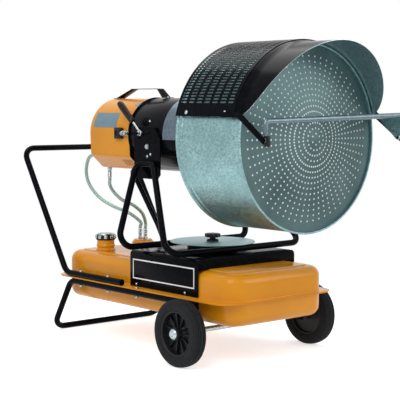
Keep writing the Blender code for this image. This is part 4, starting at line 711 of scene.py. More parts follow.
def hose(name, low, shares, top, way, split_share):
    """A braided hose as two open tubes that meet low down, each with the lay on its UV map."""
    lead = 0.028
    stub = 0.0093
    span = top - low
    points = [low, low + up * stub, low + up * lead]
    points += [low + Vector((span.x * x, span.y * y, span.z * z)) for x, y, z in shares]
    points += [top - way * lead, top - way * stub, top]
    route = smooth_route(points, 8)
    rings = []
    across = Vector((0, 1.0, 0))
    for index, point in enumerate(route):
        heading = (route[min(index + 1, len(route) - 1)] - route[max(index - 1, 0)]).normalized()
        across = (across - heading * across.dot(heading)).normalized()
        other = heading.cross(across)
        rings.append([point + (across * math.cos(turn) + other * math.sin(turn)) * hose_radius
            for turn in (2 * math.pi * side / hose_sides for side in range(hose_sides))])
    lengths = [0.0]
    for first, second in zip(route, route[1:]):
        lengths.append(lengths[-1] + (second - first).length)
    split_z = low.z + span.z * split_share
    split = next(index for index, point in enumerate(route) if point.z > split_z)
    parts = []
    for label, start, stop in (("lower", 0, split), ("upper", split, len(route) - 1)):
        mesh = bpy.data.meshes.new(f"{name}_{label}")
        work = bmesh.new()
        rows = [[work.verts.new(point) for point in ring] for ring in rings[start:stop + 1]]
        add_ring_faces(work, rows, lengths[start:])
        work.to_mesh(mesh)
        work.free()
        piece = add_object(f"{name}_{label}", mesh)
        parts.append(finish(piece, f"{name}_{label}", braid, smooth=60.0))
    lower, upper = parts
    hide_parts(name)
    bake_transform(lower)
    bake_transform(upper)


hose("feed_hose", feed_low, feed_shares, feed_top, Vector((1.0, 0, 0)), 0.35)
hose("return_hose", return_low, return_shares, return_top, up * 1.0, 0.28)


# Tubes of the foot, handle and stand

tube_radius = 0.0125
rail_y = 0.285
foot_rail_z = 0.22785
handle_rail_z = 0.25815
foot_points = mirrored([at(0.235, -rail_y, foot_rail_z), at(-0.565, -rail_y, foot_rail_z),
    at(-0.695, -rail_y, tube_radius)])
handle_points = mirrored([at(-0.215, -rail_y, handle_rail_z), at(-0.6, -rail_y, handle_rail_z),
    at(-0.925, -rail_y, 0.765)])
foot = bent_tube("foot_tube", foot_points, 0.055, tube_radius, black)
axle_plates = []
for side in (-1, 1):
    y = side * rail_y - 0.0025
    axle_plates.append(slab("axle_plate", [at(0.16, y, 0.222), at(0.189, y, 0.104),
        at(0.221, y, 0.104), at(0.25, y, 0.222)], (0, 0.005, 0), black))
stand_for(join("foot_tube", [foot] + axle_plates), "support_foot")
stand_for(bent_tube("handle_tube", handle_points, 0.055, tube_radius, black), "push_handle")

cradle_z = 0.4061
for label, side in both_sides:
    points = [at(0.15, side * 0.0003, cradle_z), at(0.15, side * 0.36, cradle_z),
        at(-0.162, side * 0.1705, 0.722), at(-0.27, side * 0.1705, 0.722),
        at(-0.15, side * 0.36, cradle_z), at(-0.15, side * 0.0003, cradle_z)]
    tube = bent_tube(f"stand_tube_{label}_bent", points, [0.045, 0.026, 0.026, 0.045], tube_radius,
        black)
    stand_for(tube, f"stand_tube_{label}")
brace_points = [at(-0.15, -0.125, 0.4284), at(-0.318, -0.1417, 0.668)]
stand_for(bent_tube("stay_tube", brace_points, None, 0.0095, black), "stand_brace")


# Wheels and axle

wheel_radius = 0.125
wheel_y = 0.338
wheel_x = 0.205
near_wheel = at(wheel_x, -wheel_y, wheel_radius)


def tyre_profile():
    """A tyre section: bead, sidewall with two moulded rings, shoulder and tread grooves."""
    side = [(0.083, 0.0218), (0.0865, 0.0245), (0.09, 0.0262), (0.0915, 0.0252), (0.093, 0.0268),
        (0.1, 0.0279), (0.103, 0.028), (0.1045, 0.027), (0.106, 0.0279), (0.112, 0.0272),
        (0.1165, 0.0252), (0.119, 0.024), (0.12, 0.0222), (0.1226, 0.0202), (0.1236, 0.016),
        (0.1206, 0.0152), (0.1206, 0.0134), (0.1242, 0.0124), (0.1248, 0.008), (0.1218, 0.007),
        (0.1218, 0.0052), (0.125, 0.0042), (0.125, 0)]
    return side + [(radius, -height) for radius, height in reversed(side[:-1])]


def wheel(prefix, turn):
    """A wheel with its axle cap, made in the near place and put in its own by a matrix."""
    tyre = lathe(prefix + "_tyre_moulded", tyre_profile(), near_wheel, rubber, "Y", steps=96,
        soft=0.0006)
    barrel = lathe("rim_barrel", [(0.0827, -0.022), (0.0787, -0.022), (0.077, -0.0195),
        (0.0745, 0.003), (0.03, 0.003), (0.024, -0.006), (0.024, -0.0275), (0.0225, -0.028),
        (0.0108, -0.028), (0.0108, 0.0495), (0.0158, 0.0495), (0.0158, 0.028), (0.024, 0.0275),
        (0.024, 0.0085), (0.0745, 0.0085), (0.0785, 0.022), (0.0827, 0.022)], near_wheel,
        black_plastic, "Y", steps=96, soft=0.0008)
    rib = block("rim_rib", (0.0515, 0.012, 0.0036), near_wheel + Vector((0.0495, -0.003, 0)),
        black_plastic, edge=0.0012)
    ribs = turned_copies(rib, "rim_rib", 11, near_wheel, "Y")
    lip = lathe("rim_lip", [(0.08, -0.0212), (0.0822, -0.0228), (0.0828, -0.0212)], near_wheel,
        black_plastic, "Y", steps=96)
    rim = join(prefix + "_rim_moulded", [barrel, ribs, lip])
    dome = lathe(prefix + "_axle_dome", [(0, -0.0388), (0.0052, -0.0386), (0.0062, -0.037),
        (0.01, -0.0388), (0.015, -0.0372), (0.019, -0.0335), (0.0208, -0.0283), (0.0105, -0.0283),
        (0.0105, -0.0343), (0, -0.0343)], near_wheel, zinc, "Y", steps=48, soft=0.0008)
    for piece in (tyre, rim, dome):
        if turn:
            piece.data.transform(turn)
            piece.data.flip_normals()
    for piece, ending in ((tyre, "_tyre"), (rim, "_rim"), (dome, "_axle_cap")):
        stand_for(piece, prefix + ending)


wheel("near", None)
wheel("far", Matrix.Scale(-1.0, 4, (0, 1.0, 0)))
axle = lathe("axle_rod", [(0, -0.3718), (0.009, -0.3718), (0.01, -0.3708), (0.01, 0.3708),
    (0.009, 0.3718), (0, 0.3718)], at(wheel_x, 0, wheel_radius), zinc, "Y", steps=32)
stand_for(axle, "axle")


# Saddle, turntable and knob

saddle_bottom = 0.24565
saddle_top = 0.3873
saddle_lip_z = 0.3483
saddle_length = 0.41
saddle_width = 0.504
saddle_sheet = 0.003


def folded_saddle():
    """A folded sheet bridge over the tank: rounded long edges, low lips front and rear."""
    height = saddle_top - saddle_bottom
    piece = box((saddle_length, saddle_width, height), at(0, 0, (saddle_top + saddle_bottom) / 2))
    set_mode("EDIT")
    pick("EDGE", lambda edge: all(vert.co.z > saddle_top - seam_merge for vert in edge.verts)
        and abs(edge.verts[0].co.x - edge.verts[1].co.x) > height)
    bevel_edges(0.018, 6)
    pick_all()
    bpy.ops.mesh.bisect(plane_co=(0, 0, saddle_lip_z), plane_no=(0, 0, 1.0))
    cut_away(lambda face: face.normal.z < -0.5 or (abs(face.normal.x) > 0.9
        and face.calc_center_median().z < saddle_lip_z))
    turn_out()
    give_wall(piece, saddle_sheet, use_even_offset=True)
    round_edges(piece, 0.0012, 3)
    return finish(piece, "saddle_folded", black)


def picture_frame(name, corner_low, corner_high, line, y, material):
    """A plain painted outline on a near-side face."""
    middle = (Vector(corner_low) + Vector(corner_high)) / 2
    bpy.ops.mesh.primitive_plane_add(size=1.0, location=(middle.x, y, middle.z),
        rotation=(math.radians(90), 0, 0))
    piece = bpy.context.active_object
    piece.scale = (corner_high[0] - corner_low[0], corner_high[2] - corner_low[2], 1.0)
    bpy.ops.object.transform_apply(location=True, rotation=True, scale=True)
    set_mode("EDIT")
    pick_all()
    bpy.ops.mesh.inset(thickness=line)
    bpy.ops.mesh.delete(type="FACE")
    give_wall(piece, 0.0002, 1.0)
    return finish(piece, name, material)


stand_for(folded_saddle(), "saddle")
outline = picture_frame("bare_sign_outline", at(-0.187, 0, 0.276), at(0.184, 0, 0.354), 0.0048,
    -0.2521, white_paint)
carry(outline, "cart")


def pan_screw(name, place, axis, radius, material, side=-1.0):
    """A domed screw head with a washer under it."""
    profile = [(0, 0.0034), (radius * 0.45, 0.0032), (radius * 0.8, 0.0022), (radius, 0.0008),
        (radius * 1.25, 0.0007), (radius * 1.25, 0), (0, 0)]
    return lathe(name, [(out, side * height) for out, height in profile], place, material, axis,
        steps=24)


for index, x in enumerate((-0.165, 0.13)):
    for label, side in both_sides:
        screw = pan_screw(f"saddle_screw_{label}_{index}", at(x, side * 0.252, 0.2555), "Y", 0.0042,
            zinc, side)
        carry(screw, "cart")

swivel_bore = 0.0088
hub = lathe("turntable_ring", ring_section(swivel_bore, 0.1, 0.3876, 0.4186), at(0, 0, 0), black,
    steps=96, soft=0.002)
stand_for(hub, "turntable_hub")
disc = lathe("swivel_plate", ring_section(swivel_bore, 0.168, 0.4189, 0.4219), at(0, 0, 0),
    galvanised, steps=128, soft=0.0008)
stand_for(disc, "swivel_disc")


def star_knob():
    """A moulded clamp knob: foot ring, waisted neck and a head with eight finger lobes."""
    stem = lathe("knob_stem", [(0, 0.4019), (0.008, 0.4019), (0.008, 0.4222), (0.024, 0.4222),
        (0.024, 0.4262), (0.0215, 0.4288), (0.0135, 0.43), (0.0115, 0.433), (0.0125, 0.4375),
        (0, 0.4375)], at(0, 0, 0), black_plastic, steps=48, soft=0.0008)
    outline = []
    for step in range(96):
        angle = 2 * math.pi * step / 96
        reach = 0.031 - 0.0042 * (1 - math.cos(8 * angle)) / 2
        outline.append(at(reach * math.cos(angle), reach * math.sin(angle), 0.4372))
    head_piece = slab("knob_head", outline, (0, 0, 0.0147), black_plastic, edge=0.0032, segments=4)
    return join("star_knob", [stem, head_piece])


stand_for(star_knob(), "swivel_knob")


# Rail bolts with nuts and washers

def rail_bolt(name, place, top, washers, heads):
    """A bolt through a rail, from one head height to the other, with washers between."""
    pieces = [lathe("shank", pin_section(0.004, 0.21, top), place, zinc, steps=20)]
    pieces += [lathe("washer", ring_section(0.0042, 0.0085, z, z + 0.001), place, zinc, steps=24)
        for z in washers]
    pieces += [hex_head("head", 0.013, 0.0042, place + up * z, "Z", zinc, 0.0003) for z in heads]
    return join(name, pieces)


for index, x in ((1, -0.493), (2, -0.307)):
    for label, side in both_sides:
        bolt = rail_bolt(f"{label}_through_bolt_{index}", at(x, side * rail_y, 0), 0.2759,
            (0.2141, 0.2709), (0.2118, 0.274))
        stand_for(bolt, f"{label}_rail_bolt_{index}")
for label, side in both_sides:
    carry(rail_bolt(f"{label}_foot_bolt", at(-0.12, side * rail_y, 0), 0.252, (), (0.2118, 0.2496)),
        "cart")


# Side plates, pivot bolts and tilt clamp

pivot = at(-0.217, 0, 0.79)
stud = at(-0.24985, 0, 0.84258)
for label, side in both_sides:
    soften(f"{label}_bracket", 0.0008)
    shank = lathe("pivot_shank", pin_section(0.0058, side * 0.14, side * 0.157), pivot, zinc, "Y",
        steps=24)
    washer = lathe("pivot_washer", ring_section(0.0062, 0.0108, side * 0.1569, side * 0.1583),
        pivot, zinc, "Y", steps=32)
    cap = hex_head("pivot_head", 0.0175, 0.0044, pivot + Vector((0, side * 0.1606, 0)), "Y", zinc,
        0.0004)
    stand_for(join(f"{label}_pivot_hexagon", [shank, washer, cap]), f"{label}_pivot_bolt")

lever_way = math.radians(139.0)
lever_middle = stud + Vector((0, -0.1651, 0))


def along_lever(piece):
    """Turn a piece made upright at the origin to the lever's direction and move it to its hub."""
    turn = Matrix.Rotation(math.radians(90.0) - lever_way, 4, "Y")
    piece.data.transform(Matrix.Translation(lever_middle) @ turn)
    return piece


lever_hub = lathe("lever_hub", [(0.0053, -0.1571), (0.0053, -0.1731), (0.0098, -0.1731),
    (0.011, -0.1716), (0.011, -0.1586), (0.01, -0.1571)], stud, zinc, "Y", steps=40, soft=0.0006)
lever_rod = along_lever(lathe("lever_rod_turned", [(0, 0.008), (0.0055, 0.008), (0.0055, 0.015),
    (0.004, 0.0185), (0.004, 0.127), (0, 0.127)], (0, 0, 0), zinc, steps=24, soft=0.0005))
stand_for(join("clamp_lever_rod", [lever_hub, lever_rod]), "tilt_lever_rod")
grip = along_lever(lathe("lever_grip_turned", [(0.0043, 0.1), (0.0043, 0.069), (0.0082, 0.069),
    (0.0108, 0.072), (0.0124, 0.08), (0.0132, 0.094), (0.0138, 0.12), (0.0146, 0.145),
    (0.0149, 0.162), (0.0144, 0.174), (0.0122, 0.183), (0.007, 0.1872), (0, 0.188)], (0, 0, 0),
    brown_plastic, steps=40, soft=0.0012))
stand_for(grip, "tilt_lever_grip")
small_screws = [("head", "housing_screw", at(-0.225, -0.1378, 0.89)),
    ("stand", "plate_screw_low", at(-0.218, -0.1565, 0.751)),
    ("stand", "plate_screw_high", at(-0.198, -0.1565, 0.76))]
for body, name, place in small_screws:
    carry(pan_screw(name, place, "Y", 0.0045, zinc), body)
stud_nut = hex_head("clamp_nut", 0.015, 0.006, stud + Vector((0, -0.1765, 0)), "Y", zinc)
carry(stud_nut, "head")


# Burner housing, flange and casing

housing = at(0, 0, head_z)
casing_front = -0.3523
casing_rear = -0.6313
casing_radius = 0.146
vent_count = 6
vent_pitch = 0.0115


def spin_about_head(steps, degrees):
    """In edit mode, spin what is selected about the head's axis."""
    bpy.ops.mesh.spin(steps=steps, angle=math.radians(degrees), center=housing, axis=(1.0, 0, 0))


def polar(place):
    """A place's radius about the head's axis, and its angle from straight up."""
    return math.hypot(place.y, place.z - head_z), math.atan2(place.y, place.z - head_z)


def leaning(x, degrees):
    """A matrix that puts an upright piece on the head's axis, turned sideways."""
    return Matrix.Translation(at(x, 0, head_z)) @ Matrix.Rotation(math.radians(degrees), 4, "X")


def burner_housing():
    """The black burner tube with its pivot bosses and clamp studs."""
    tube = lathe("housing_tube", ring_section(0.145, 0.148, -0.344, 0.1827), housing, black, "X",
        steps=128, soft=0.0008)
    pieces = [tube]
    for side in (-1, 1):
        pieces.append(lathe("pivot_boss", [(0.0068, side * 0.1512), (0.0068, side * 0.14),
            (0.016, side * 0.132), (0.016, side * 0.1512)], pivot, black, "Y", steps=40))
        reach = 0.1915 if side < 0 else 0.161
        pieces.append(lathe("clamp_stud", [(0, side * reach), (0.0042, side * reach),
            (0.005, side * (reach - 0.001)), (0.005, side * 0.1512), (0.0112, side * 0.1512),
            (0.0112, side * 0.132), (0, side * 0.132)], stud, black, "Y", steps=32))
    return join("housing_with_bosses", pieces)


stand_for(burner_housing(), "burner_housing")
flange_disc = lathe("motor_flange", ring_section(0.0068, 0.1512, -0.352, -0.3443), housing, black,
    "X", steps=128, soft=0.0012)
stand_for(flange_disc, "housing_flange")


def casing():
    """The yellow casing: a drawn shell, round above, with chamfered lower sides and slots."""
    outline = [at(casing_rear, casing_radius * math.cos(angle), head_z
        + casing_radius * math.sin(angle)) for angle in (math.pi * step / 48 for step in range(49))]
    lower = mirrored([at(casing_rear, -0.97 * casing_radius, head_z - 0.62 * casing_radius),
        at(casing_rear, -0.55 * casing_radius, head_z - casing_radius)])
    corners = round_corners([outline[-1]] + lower + [outline[0]], 0.022, 6)
    piece = draw_line(outline + corners[1:-1], fill=True)
    extrude((casing_front - casing_rear, 0, 0))
    merge_and_turn_out()
    pick("FACE", lambda face: face.normal.x > 0.9)
    bpy.ops.mesh.delete(type="ONLY_FACE")
    pick("FACE", lambda face: face.normal.x < -0.9)
    bpy.ops.mesh.region_to_loop()
    bevel_edges(0.016, 6)
    give_wall(piece, 0.0015, use_even_offset=True)
    slots = []
    for side in (-1, 1):
        for index in range(vent_count):
            place = at(casing_front - vent_pitch * (index + 1), side * 0.111, 0.7177)
            slots.append(block("vent_slot", (0.0045, 0.032, 0.03), place, black, edge=0.002))
    cutter = join("vent_slots", slots)
    apply_modifier(piece, "BOOLEAN", object=cutter, operation="DIFFERENCE", solver="EXACT")
    bpy.data.objects.remove(cutter)
    return finish(piece, "casing_shell", yellow, smooth=30.0)


stand_for(casing(), "burner_cover")


def patch(name, x_low, x_high, from_degrees, to_degrees, radius, thickness, material):
    """A thin curved patch on the near side; degrees count up from the level of the axis."""
    start = math.radians(from_degrees)
    piece = draw_line([at(x, -radius * math.cos(start), head_z + radius * math.sin(start))
        for x in (x_low, x_high)])
    spin_about_head(16, to_degrees - from_degrees)
    turn_out()
    give_wall(piece, thickness, 0)
    return finish(piece, name, material)


carry(patch("bare_data_plate", -0.6, -0.442, 10.0, 36.0, 0.1463, 0.0005, label_foil), "head")
carry(patch("bare_label", -0.388, -0.356, 52.0, 62.0, 0.1463, 0.0004, label_foil), "head")

for index, (x, z) in enumerate(((-0.388, 0.807), (-0.366, 0.79))):
    place = at(x, -math.sqrt(casing_radius ** 2 - (z - head_z) ** 2), z)
    carry(pan_screw(f"casing_screw_{index}", place, "Y", 0.004, copper), "head")

socket_x = -0.412
socket_z = 0.84
socket_pieces = [block("socket_body", (0.046, 0.0137, 0.046), at(socket_x, -0.15315, socket_z),
    black_plastic, edge=0.002)]
recess = lathe("socket_ring", [(0.012, -0.16), (0.012, -0.163), (0.0165, -0.163), (0.0175, -0.16)],
    at(socket_x, 0, socket_z), black_plastic, "Y", steps=40)
socket_pieces.append(recess)
for index in (0, 1):
    place = at(socket_x + 0.0329 + 0.0209 * index, 0, socket_z)
    socket_pieces.append(lathe("gland_neck", [(0, -0.1463), (0.011, -0.1463), (0.011, -0.15),
        (0.0082, -0.152), (0.0082, -0.16), (0.0095, -0.1625), (0.0072, -0.1675), (0.006, -0.1683),
        (0, -0.1683)], place, chrome, "Y", steps=36, soft=0.0006))
    socket_pieces.append(hex_head("gland_nut", 0.019, 0.006, place + Vector((0, -0.1545, 0)), "Y",
        chrome))
stand_for(join("thermostat_socket", socket_pieces), "control_socket")


# Carrying handle and heat shield

strip_middle = Vector((0, -0.018, 0))
handle_line = [at(-0.622, 0, 0.98355), at(-0.6, 0, 0.98355), at(-0.5, 0, 1.022),
    at(-0.33, 0, 1.022), at(-0.29, 0, 0.98555), at(-0.268, 0, 0.98555)]
carry_strip = strip("carry_strip", [point + strip_middle for point in handle_line],
    Vector((0, 0.036, 0)), 0.0025, black, bends=0.012, edge=0.0005)
activate(carry_strip)
set_mode("EDIT")
pick("VERT", lambda vert: vert.co.z < 0.99)
bpy.ops.transform.resize(value=(1.0, 1.25, 1.0), center_override=(0, 0, 0))
set_mode("OBJECT")
deselect()
stand_for(carry_strip, "carry_handle")
for index, (x, top) in enumerate(((-0.611, 0.98485), (-0.279, 0.98685))):
    carry(pan_screw(f"carry_screw_{index}", at(x, 0, top), "Z", 0.0045, zinc, 1.0), "head")


def heat_shield():
    """A curved galvanised sheet on short stand-offs over the near upper side of the housing."""
    sheet = patch("shield_sheet", -0.125, 0.1827, -6.0, 68.0, 0.154, 0.001, shield_sheet)
    pieces = [sheet]
    for corner in (2, 7):
        angle = 2 * math.pi * corner / 28
        for x in (-0.107, 0.159):
            spacer = block("shield_spacer", (0.012, 0.012, 0.0062), (0, 0, 0), galvanised,
                edge=0.0008)
            turn = Matrix.Rotation(angle, 4, "X")
            place = at(x, -math.sin(angle) * 0.15075, head_z + math.cos(angle) * 0.15075)
            spacer.data.transform(Matrix.Translation(place) @ turn)
            pieces.append(spacer)
    return join("shield_on_spacers", pieces)


stand_for(heat_shield(), "heat_shield")


# Drum, dish, hood and visor

screw_places = (0.246, 0.45)
drum_front = 0.525
drum_rear = 0.183
dish_edge = 0.3377


def drum():
    """The galvanised drum with rolled rims and a raised bead near the back."""
    bead = drum_rear + 0.028
    rim = [(0.338, 0.0005), (0.3405, 0), (0.343, 0.0006), (0.3443, 0.0024), (0.3445, 0.0046),
        (0.3436, 0.0066), (0.3415, 0.008), (0.34, 0.0095)]
    swell = [(0.34, 0.0065), (0.3416, 0.005), (0.3428, 0.003)]
    profile = [(radius, drum_front - depth) for radius, depth in rim]
    profile += [(radius, bead + reach) for radius, reach in swell] + [(0.343, bead)]
    profile += [(radius, bead - reach) for radius, reach in reversed(swell)]
    profile += [(radius, drum_rear + depth) for radius, depth in reversed(rim)]
    shell = lathe("drum_sheet", profile, housing, galvanised, "X", steps=160, smooth=40.0)
    pieces = [shell]
    for side in (-1, 1):
        for x in screw_places:
            stay = lathe("hood_stay", pin_section(0.0058, 0.3388, 0.356), (0, 0, 0), galvanised,
                steps=24)
            stay.data.transform(leaning(x, -side * 76.0))
            pieces.append(stay)
    return join("drum_with_stays", pieces)


stand_for(drum(), "drum_shell")
back_plate = lathe("drum_back_pressing", ring_section(0.0716, dish_edge, drum_rear, drum_rear
    + 0.002), housing, galvanised, "X", steps=128)
stand_for(back_plate, "drum_back_plate")

dish_rays = 60
dish_rings = 15
pierced_edge = 0.3077
dish_front = 0.515
dish_depth = 0.045
hole_pitch = pierced_edge / (dish_rings + 0.5)
hole_radius = 0.0039


def holes_in_ring(ring):
    """How many holes a ring of the dish has: fewer towards the middle."""
    if ring < 1 or ring > dish_rings:
        return 0
    return 6 if ring == 1 else 15 if ring == 2 else 30 if ring < 5 else dish_rays


def dish_point(radius):
    """A point above the axis on the dish's shallow cone."""
    return at(dish_front + dish_depth * max(0, 1.0 - radius / pierced_edge), 0, head_z + radius)


def nearest_hole(place):
    """The centre of the hole nearest to a place on the dish, or None where there is none."""
    radius, angle = polar(place)
    ring = round(radius / hole_pitch)
    count = holes_in_ring(ring)
    if not count:
        return None
    turn = round(angle / (2 * math.pi) * count) / count * 2 * math.pi
    point = dish_point(ring * hole_pitch)
    return Vector((point.x, math.sin(turn) * ring * hole_pitch, head_z
        + math.cos(turn) * ring * hole_pitch))


def within_hole(place, share):
    """True within a share of the hole radius from a hole's centre."""
    centre = nearest_hole(place)
    return centre is not None and (place - centre).length < hole_radius * share


def dish():
    """The radiant dish: a shallow cone with a plain rim, pierced by rings of round holes."""
    gap = hole_pitch * 0.35
    zones = []
    for first, last, steps in ((1, 2, 30), (3, 4, 60), (5, dish_rings, 120)):
        radii = [hole_pitch * ring for ring in range(first, last + 1)]
        start = [0.0] if first == 1 else [radii[0] - gap]
        end = [pierced_edge, dish_edge] if last == dish_rings else [radii[-1] + gap]
        draw_line([dish_point(radius) for radius in start + radii + end])
        spin_about_head(steps, 360.0)
        merge_and_turn_out()
        set_mode("OBJECT")
        zones.append(bpy.context.active_object)
        deselect()
    piece = join("pierced_dish", zones)
    activate(piece)
    set_mode("EDIT")
    for ring in (2, 4):
        inner, outer = hole_pitch * ring + gap, hole_pitch * (ring + 1) - gap
        pick("EDGE", lambda edge: edge.is_boundary
            and inner - gap / 2 < polar(edge.verts[0].co)[0] < outer + gap / 2)
        bpy.ops.mesh.bridge_edge_loops()
    pick("VERT", lambda vert: within_hole(vert.co, 0.1))
    bpy.ops.mesh.bevel(offset=hole_radius, segments=2, profile=0.5, affect="VERTICES")
    cut_away(lambda face: all(within_hole(vert.co, 1.1) for vert in face.verts))
    for vert in bmesh.from_edit_mesh(piece.data).verts:
        if within_hole(vert.co, 1.1):
            centre = nearest_hole(vert.co)
            vert.co = centre + (vert.co - centre).normalized() * hole_radius
    bmesh.update_edit_mesh(piece.data)
    turn_out()
    give_wall(piece, 0.0008)
    return finish(piece, "pierced_dish", dish_metal, smooth=30.0)


stand_for(dish(), "radiant_dish")
board = lathe("fibre_board", [(0, 0.5589), (0.3077, 0.5139), (0.33, 0.5139), (0.33, 0.5028),
    (0.3077, 0.5028), (0, 0.5478)], housing, backing, "X", steps=120)
carry(board, "head")

hood_radius = 0.3565
hood_half_angle = 77.0
hood_rear = 0.19
hood_front = 0.5
hood_sheet = 0.0015
slot_columns = 7
slot_rows = 71


def arched_sheet(name, stations, from_degrees, to_degrees, radius, steps):
    """Spin a line of points along the drum's axis round it, to an arched sheet in edit mode."""
    start = math.radians(from_degrees)
    line = [at(x, radius * math.sin(start), head_z + radius * math.cos(start)) for x in stations]
    piece = draw_line(line)
    piece.name = name
    spin_about_head(steps, to_degrees - from_degrees)
    merge_and_turn_out()
    return piece


def face_up(piece):
    """In edit mode, turn an arched sheet's faces outwards."""
    faces = bmesh.from_edit_mesh(piece.data).faces
    if max(faces, key=lambda face: face.calc_center_median().z).normal.z < 0:
        pick_all()
        bpy.ops.mesh.flip_normals()


def hood():
    """The black hood: an arched sheet pierced with rows of slots, with a plain border."""
    length = hood_front - hood_rear
    pitch = length / (slot_columns + 0.35)
    slot = pitch * 0.68
    first = hood_rear + (length - (slot_columns - 1) * pitch - slot) / 2
    stations = [hood_rear]
    for column in range(slot_columns):
        stations += [first + column * pitch, first + column * pitch + slot]
    stations.append(hood_front)
    rows = 2 * slot_rows + 1
    margin = 7
    steps = rows + 2 * margin
    piece = arched_sheet("slotted_hood", stations, hood_half_angle, -hood_half_angle, hood_radius,
        steps)
    row_angle = 2 * hood_half_angle / steps

    def is_slot(face):
        """True for every second row and column of faces inside the margins."""
        middle = face.calc_center_median()
        angle = math.degrees(polar(middle)[1]) + hood_half_angle
        row = int(angle / row_angle) - margin
        if not 0 <= row < rows or row % 2 == 0:
            return False
        place = (middle.x - swivel_x - first) / pitch
        return 0.0 < place < slot_columns and place % 1.0 < slot / pitch
    cut_away(is_slot)
    face_up(piece)
    give_wall(piece, hood_sheet, 1.0)
    return finish(piece, "slotted_hood", black)


stand_for(hood(), "hood_grille")


visor_taper = 0.021
visor_reach = 0.19
visor_overlap = 0.02
least_reach = 0.021
visor_roundness = 1.6


def visor():
    """The plain forward part of the hood, cut to a half ellipse; black outside, and inside a
    galvanised lining lightened by painted light.
    """
    stations = [hood_front - visor_overlap] + [hood_front + visor_reach * step / 10
        for step in range(11)]
    piece = arched_sheet("visor", stations, hood_half_angle, -hood_half_angle, 0.3547, 96)
    work = bmesh.from_edit_mesh(piece.data)
    for vert in work.verts:
        angle = math.degrees(polar(vert.co)[1])
        share = min(1.0, abs(angle) / hood_half_angle)
        front = max(least_reach, math.sqrt(1 - share ** visor_roundness))
        ahead = vert.co.x - swivel_x - hood_front
        if ahead > 0:
            ahead *= front
            drawn_in = 1 - visor_taper * min(1.0, ahead / 0.03)
            vert.co = Vector((swivel_x + hood_front + ahead, vert.co.y * drawn_in, head_z
                + (vert.co.z - head_z) * drawn_in))
    bmesh.update_edit_mesh(piece.data)
    face_up(piece)
    set_mode("OBJECT")
    piece.data.materials.append(black)
    piece.data.materials.append(visor_lining_painted_light)
    give_wall(piece, hood_sheet, 1.0, material_offset=1, material_offset_rim=1)
    piece.name = "visor_sheet"
    bpy.ops.object.shade_smooth_by_angle(angle=math.radians(35.0))
    deselect()
    return piece


stand_for(visor(), "hood_visor")
for row, side in enumerate((-1, 1)):
    for column, x in enumerate(screw_places):
        screw = pan_screw("hood_screw", (0, 0, 0), "Z", 0.006, zinc, 1.0)
        screw.data.transform(leaning(x, -side * 74.8) @ Matrix.Translation((0, 0, 0.3579)))
        screw.name = f"hood_screw_{2 * row + column}"
        carry(screw, "head")


# Side arms and the bar across the dish

bar_x = 0.64805
bar_side = 0.3395
bar_radius = 0.0095
near_bar_z = 0.9025
far_bar_z = 0.9215
bar_tube = bent_tube("bar_tube", [at(bar_x, -bar_side, 0.879), at(bar_x, -bar_side, near_bar_z),
    at(bar_x, 0.3465, far_bar_z)], 0.024, bar_radius, bar_zinc)
taper = lathe("bar_taper", [(0, 0.854), (0.0045, 0.854), (0.0058, 0.866), (0.0094, 0.88),
    (0, 0.88)], at(bar_x, -bar_side, 0), bar_zinc, steps=32)
wing = slab("bar_wing", [at(bar_x + 0.0105, 0.3458, 0.832), at(bar_x + 0.0105, 0.3458, 0.9285),
    at(bar_x - 0.1, 0.3458, 0.918), at(bar_x - 0.1, 0.3458, 0.909),
    at(bar_x - 0.012, 0.3458, 0.832)], (0, 0.003, 0), galvanised)
stand_for(join("dish_bar", [bar_tube, taper, wing]), "front_crossbar")
for label, side in both_sides:
    soften(f"{label}_arm", 0.001)
    knuckle = hex_head(f"{label}_arm_nut", 0.015, 0.0055, at(bar_x, side * 0.342, 0.8393), "Y",
        zinc)
    carry(knuckle, "head")
bumper = block("rubber_bumper", (0.022, 0.013, 0.036), at(bar_x + 0.003, -0.3345, 0.836),
    black_plastic, edge=0.002)
carry(bumper, "head")


# Camera, lights and floor

def look_at(item, target, roll=0.0):
    """Turn a camera or lamp to a target, rolled by an angle."""
    way = Vector(target) - item.location
    turn = way.to_track_quat("-Z", "Y")
    item.rotation_euler = (turn.to_matrix()
        @ Matrix.Rotation(math.radians(roll), 3, "Z")).to_euler()


def set_camera():
    data = bpy.data.cameras.new("camera")
    camera = add_object("camera", data)
    camera.location = (3.485 + swivel_x, -3.072, 0.954)
    look_at(camera, (swivel_x, 0, 0.6), 0.26)
    data.lens = 106.5
    data.sensor_width = 36.0
    data.shift_x = -0.032
    data.shift_y = -0.0105
    bpy.context.scene.camera = camera


def area_light(name, place, target, size, power):
    data = bpy.data.lights.new(name, "AREA")
    data.shape = "RECTANGLE"
    data.size, data.size_y = size
    data.energy = power
    light = add_object(name, data)
    light.location = place
    look_at(light, target)


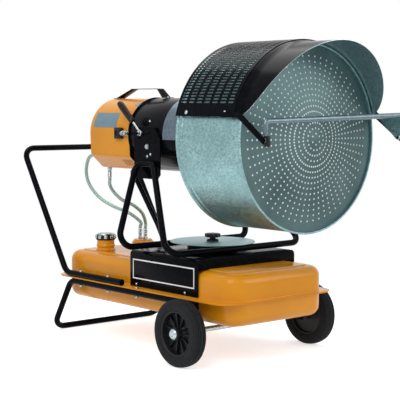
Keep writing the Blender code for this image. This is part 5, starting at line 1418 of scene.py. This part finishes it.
def seen_directly(tree):
    """1 for camera, glossy and transmission rays, and 0 for the rays that light the object."""
    path = add_node(tree, "LightPath").outputs
    direct = add_math(tree, "MAXIMUM", path["Is Camera Ray"], path["Is Glossy Ray"])
    return add_math(tree, "MAXIMUM", direct, path["Is Transmission Ray"])


def set_world():
    """Soft grey light on the object, and plain white behind it."""
    world = bpy.data.worlds.new("studio")
    world.use_nodes = True
    bpy.context.scene.world = world
    tree = world.node_tree
    tree.nodes.clear()
    soft = add_node(tree, "Background", {"Color": linear("#EEF2F6"), "Strength": 0.55})
    white = add_node(tree, "Background", {"Color": linear("#FFFFFF"), "Strength": 1.0})
    mix = add_node(tree, "MixShader", {0: seen_directly(tree), 1: soft.outputs[0],
        2: white.outputs[0]})
    add_node(tree, "OutputWorld", {"Surface": mix.outputs[0]})


floor_glow = 0.62


def set_floor():
    """A pale floor that shows the shadow near the object and turns plain white away from it."""
    bpy.ops.mesh.primitive_plane_add(size=40.0, location=(0, 0, 0))
    floor = bpy.context.active_object
    floor.name = "floor"
    material, tree, shader, place = new_finish("pale_painted_floor", {"Roughness": 0.9,
        "Base Color": linear("#F2F2F2"), "Emission Color": linear("#FFFFFF")})
    seen = seen_directly(tree)
    connect(tree, shader, emission_strength=add_math(tree, "MULTIPLY", seen, floor_glow))
    reach = add_node(tree, "VectorMath", {0: place}, operation="LENGTH").outputs["Value"]
    away = add_range(tree, reach, 0, 1.0, 1.1, 2.4)
    white = add_node(tree, "Emission", {"Color": linear("#FFFFFF"), "Strength": 1.0})
    mix = add_node(tree, "MixShader", {0: add_math(tree, "MULTIPLY", away, seen),
        1: shader.outputs[0], 2: white.outputs[0]})
    tree.links.new(mix.outputs[0], tree.nodes["Material Output"].inputs["Surface"])
    floor.data.materials.append(material)
    deselect()


def set_lights():
    """Three large soft lamps: in front on the near side, in front on the far side, and above."""
    centre = (swivel_x, 0, 0.6)
    area_light("key_light", (1.6, -3.2, 3.4), centre, (2.6, 2.6), 86.0)
    area_light("fill_light", (3.4, 2.2, 2.2), centre, (2.4, 2.4), 45.0)
    area_light("top_light", (-1.2, 0.6, 3.6), centre, (2.4, 2.4), 45.0)


bpy.context.scene.view_settings.view_transform = "Standard"
set_camera()
set_world()
set_floor()
set_lights()
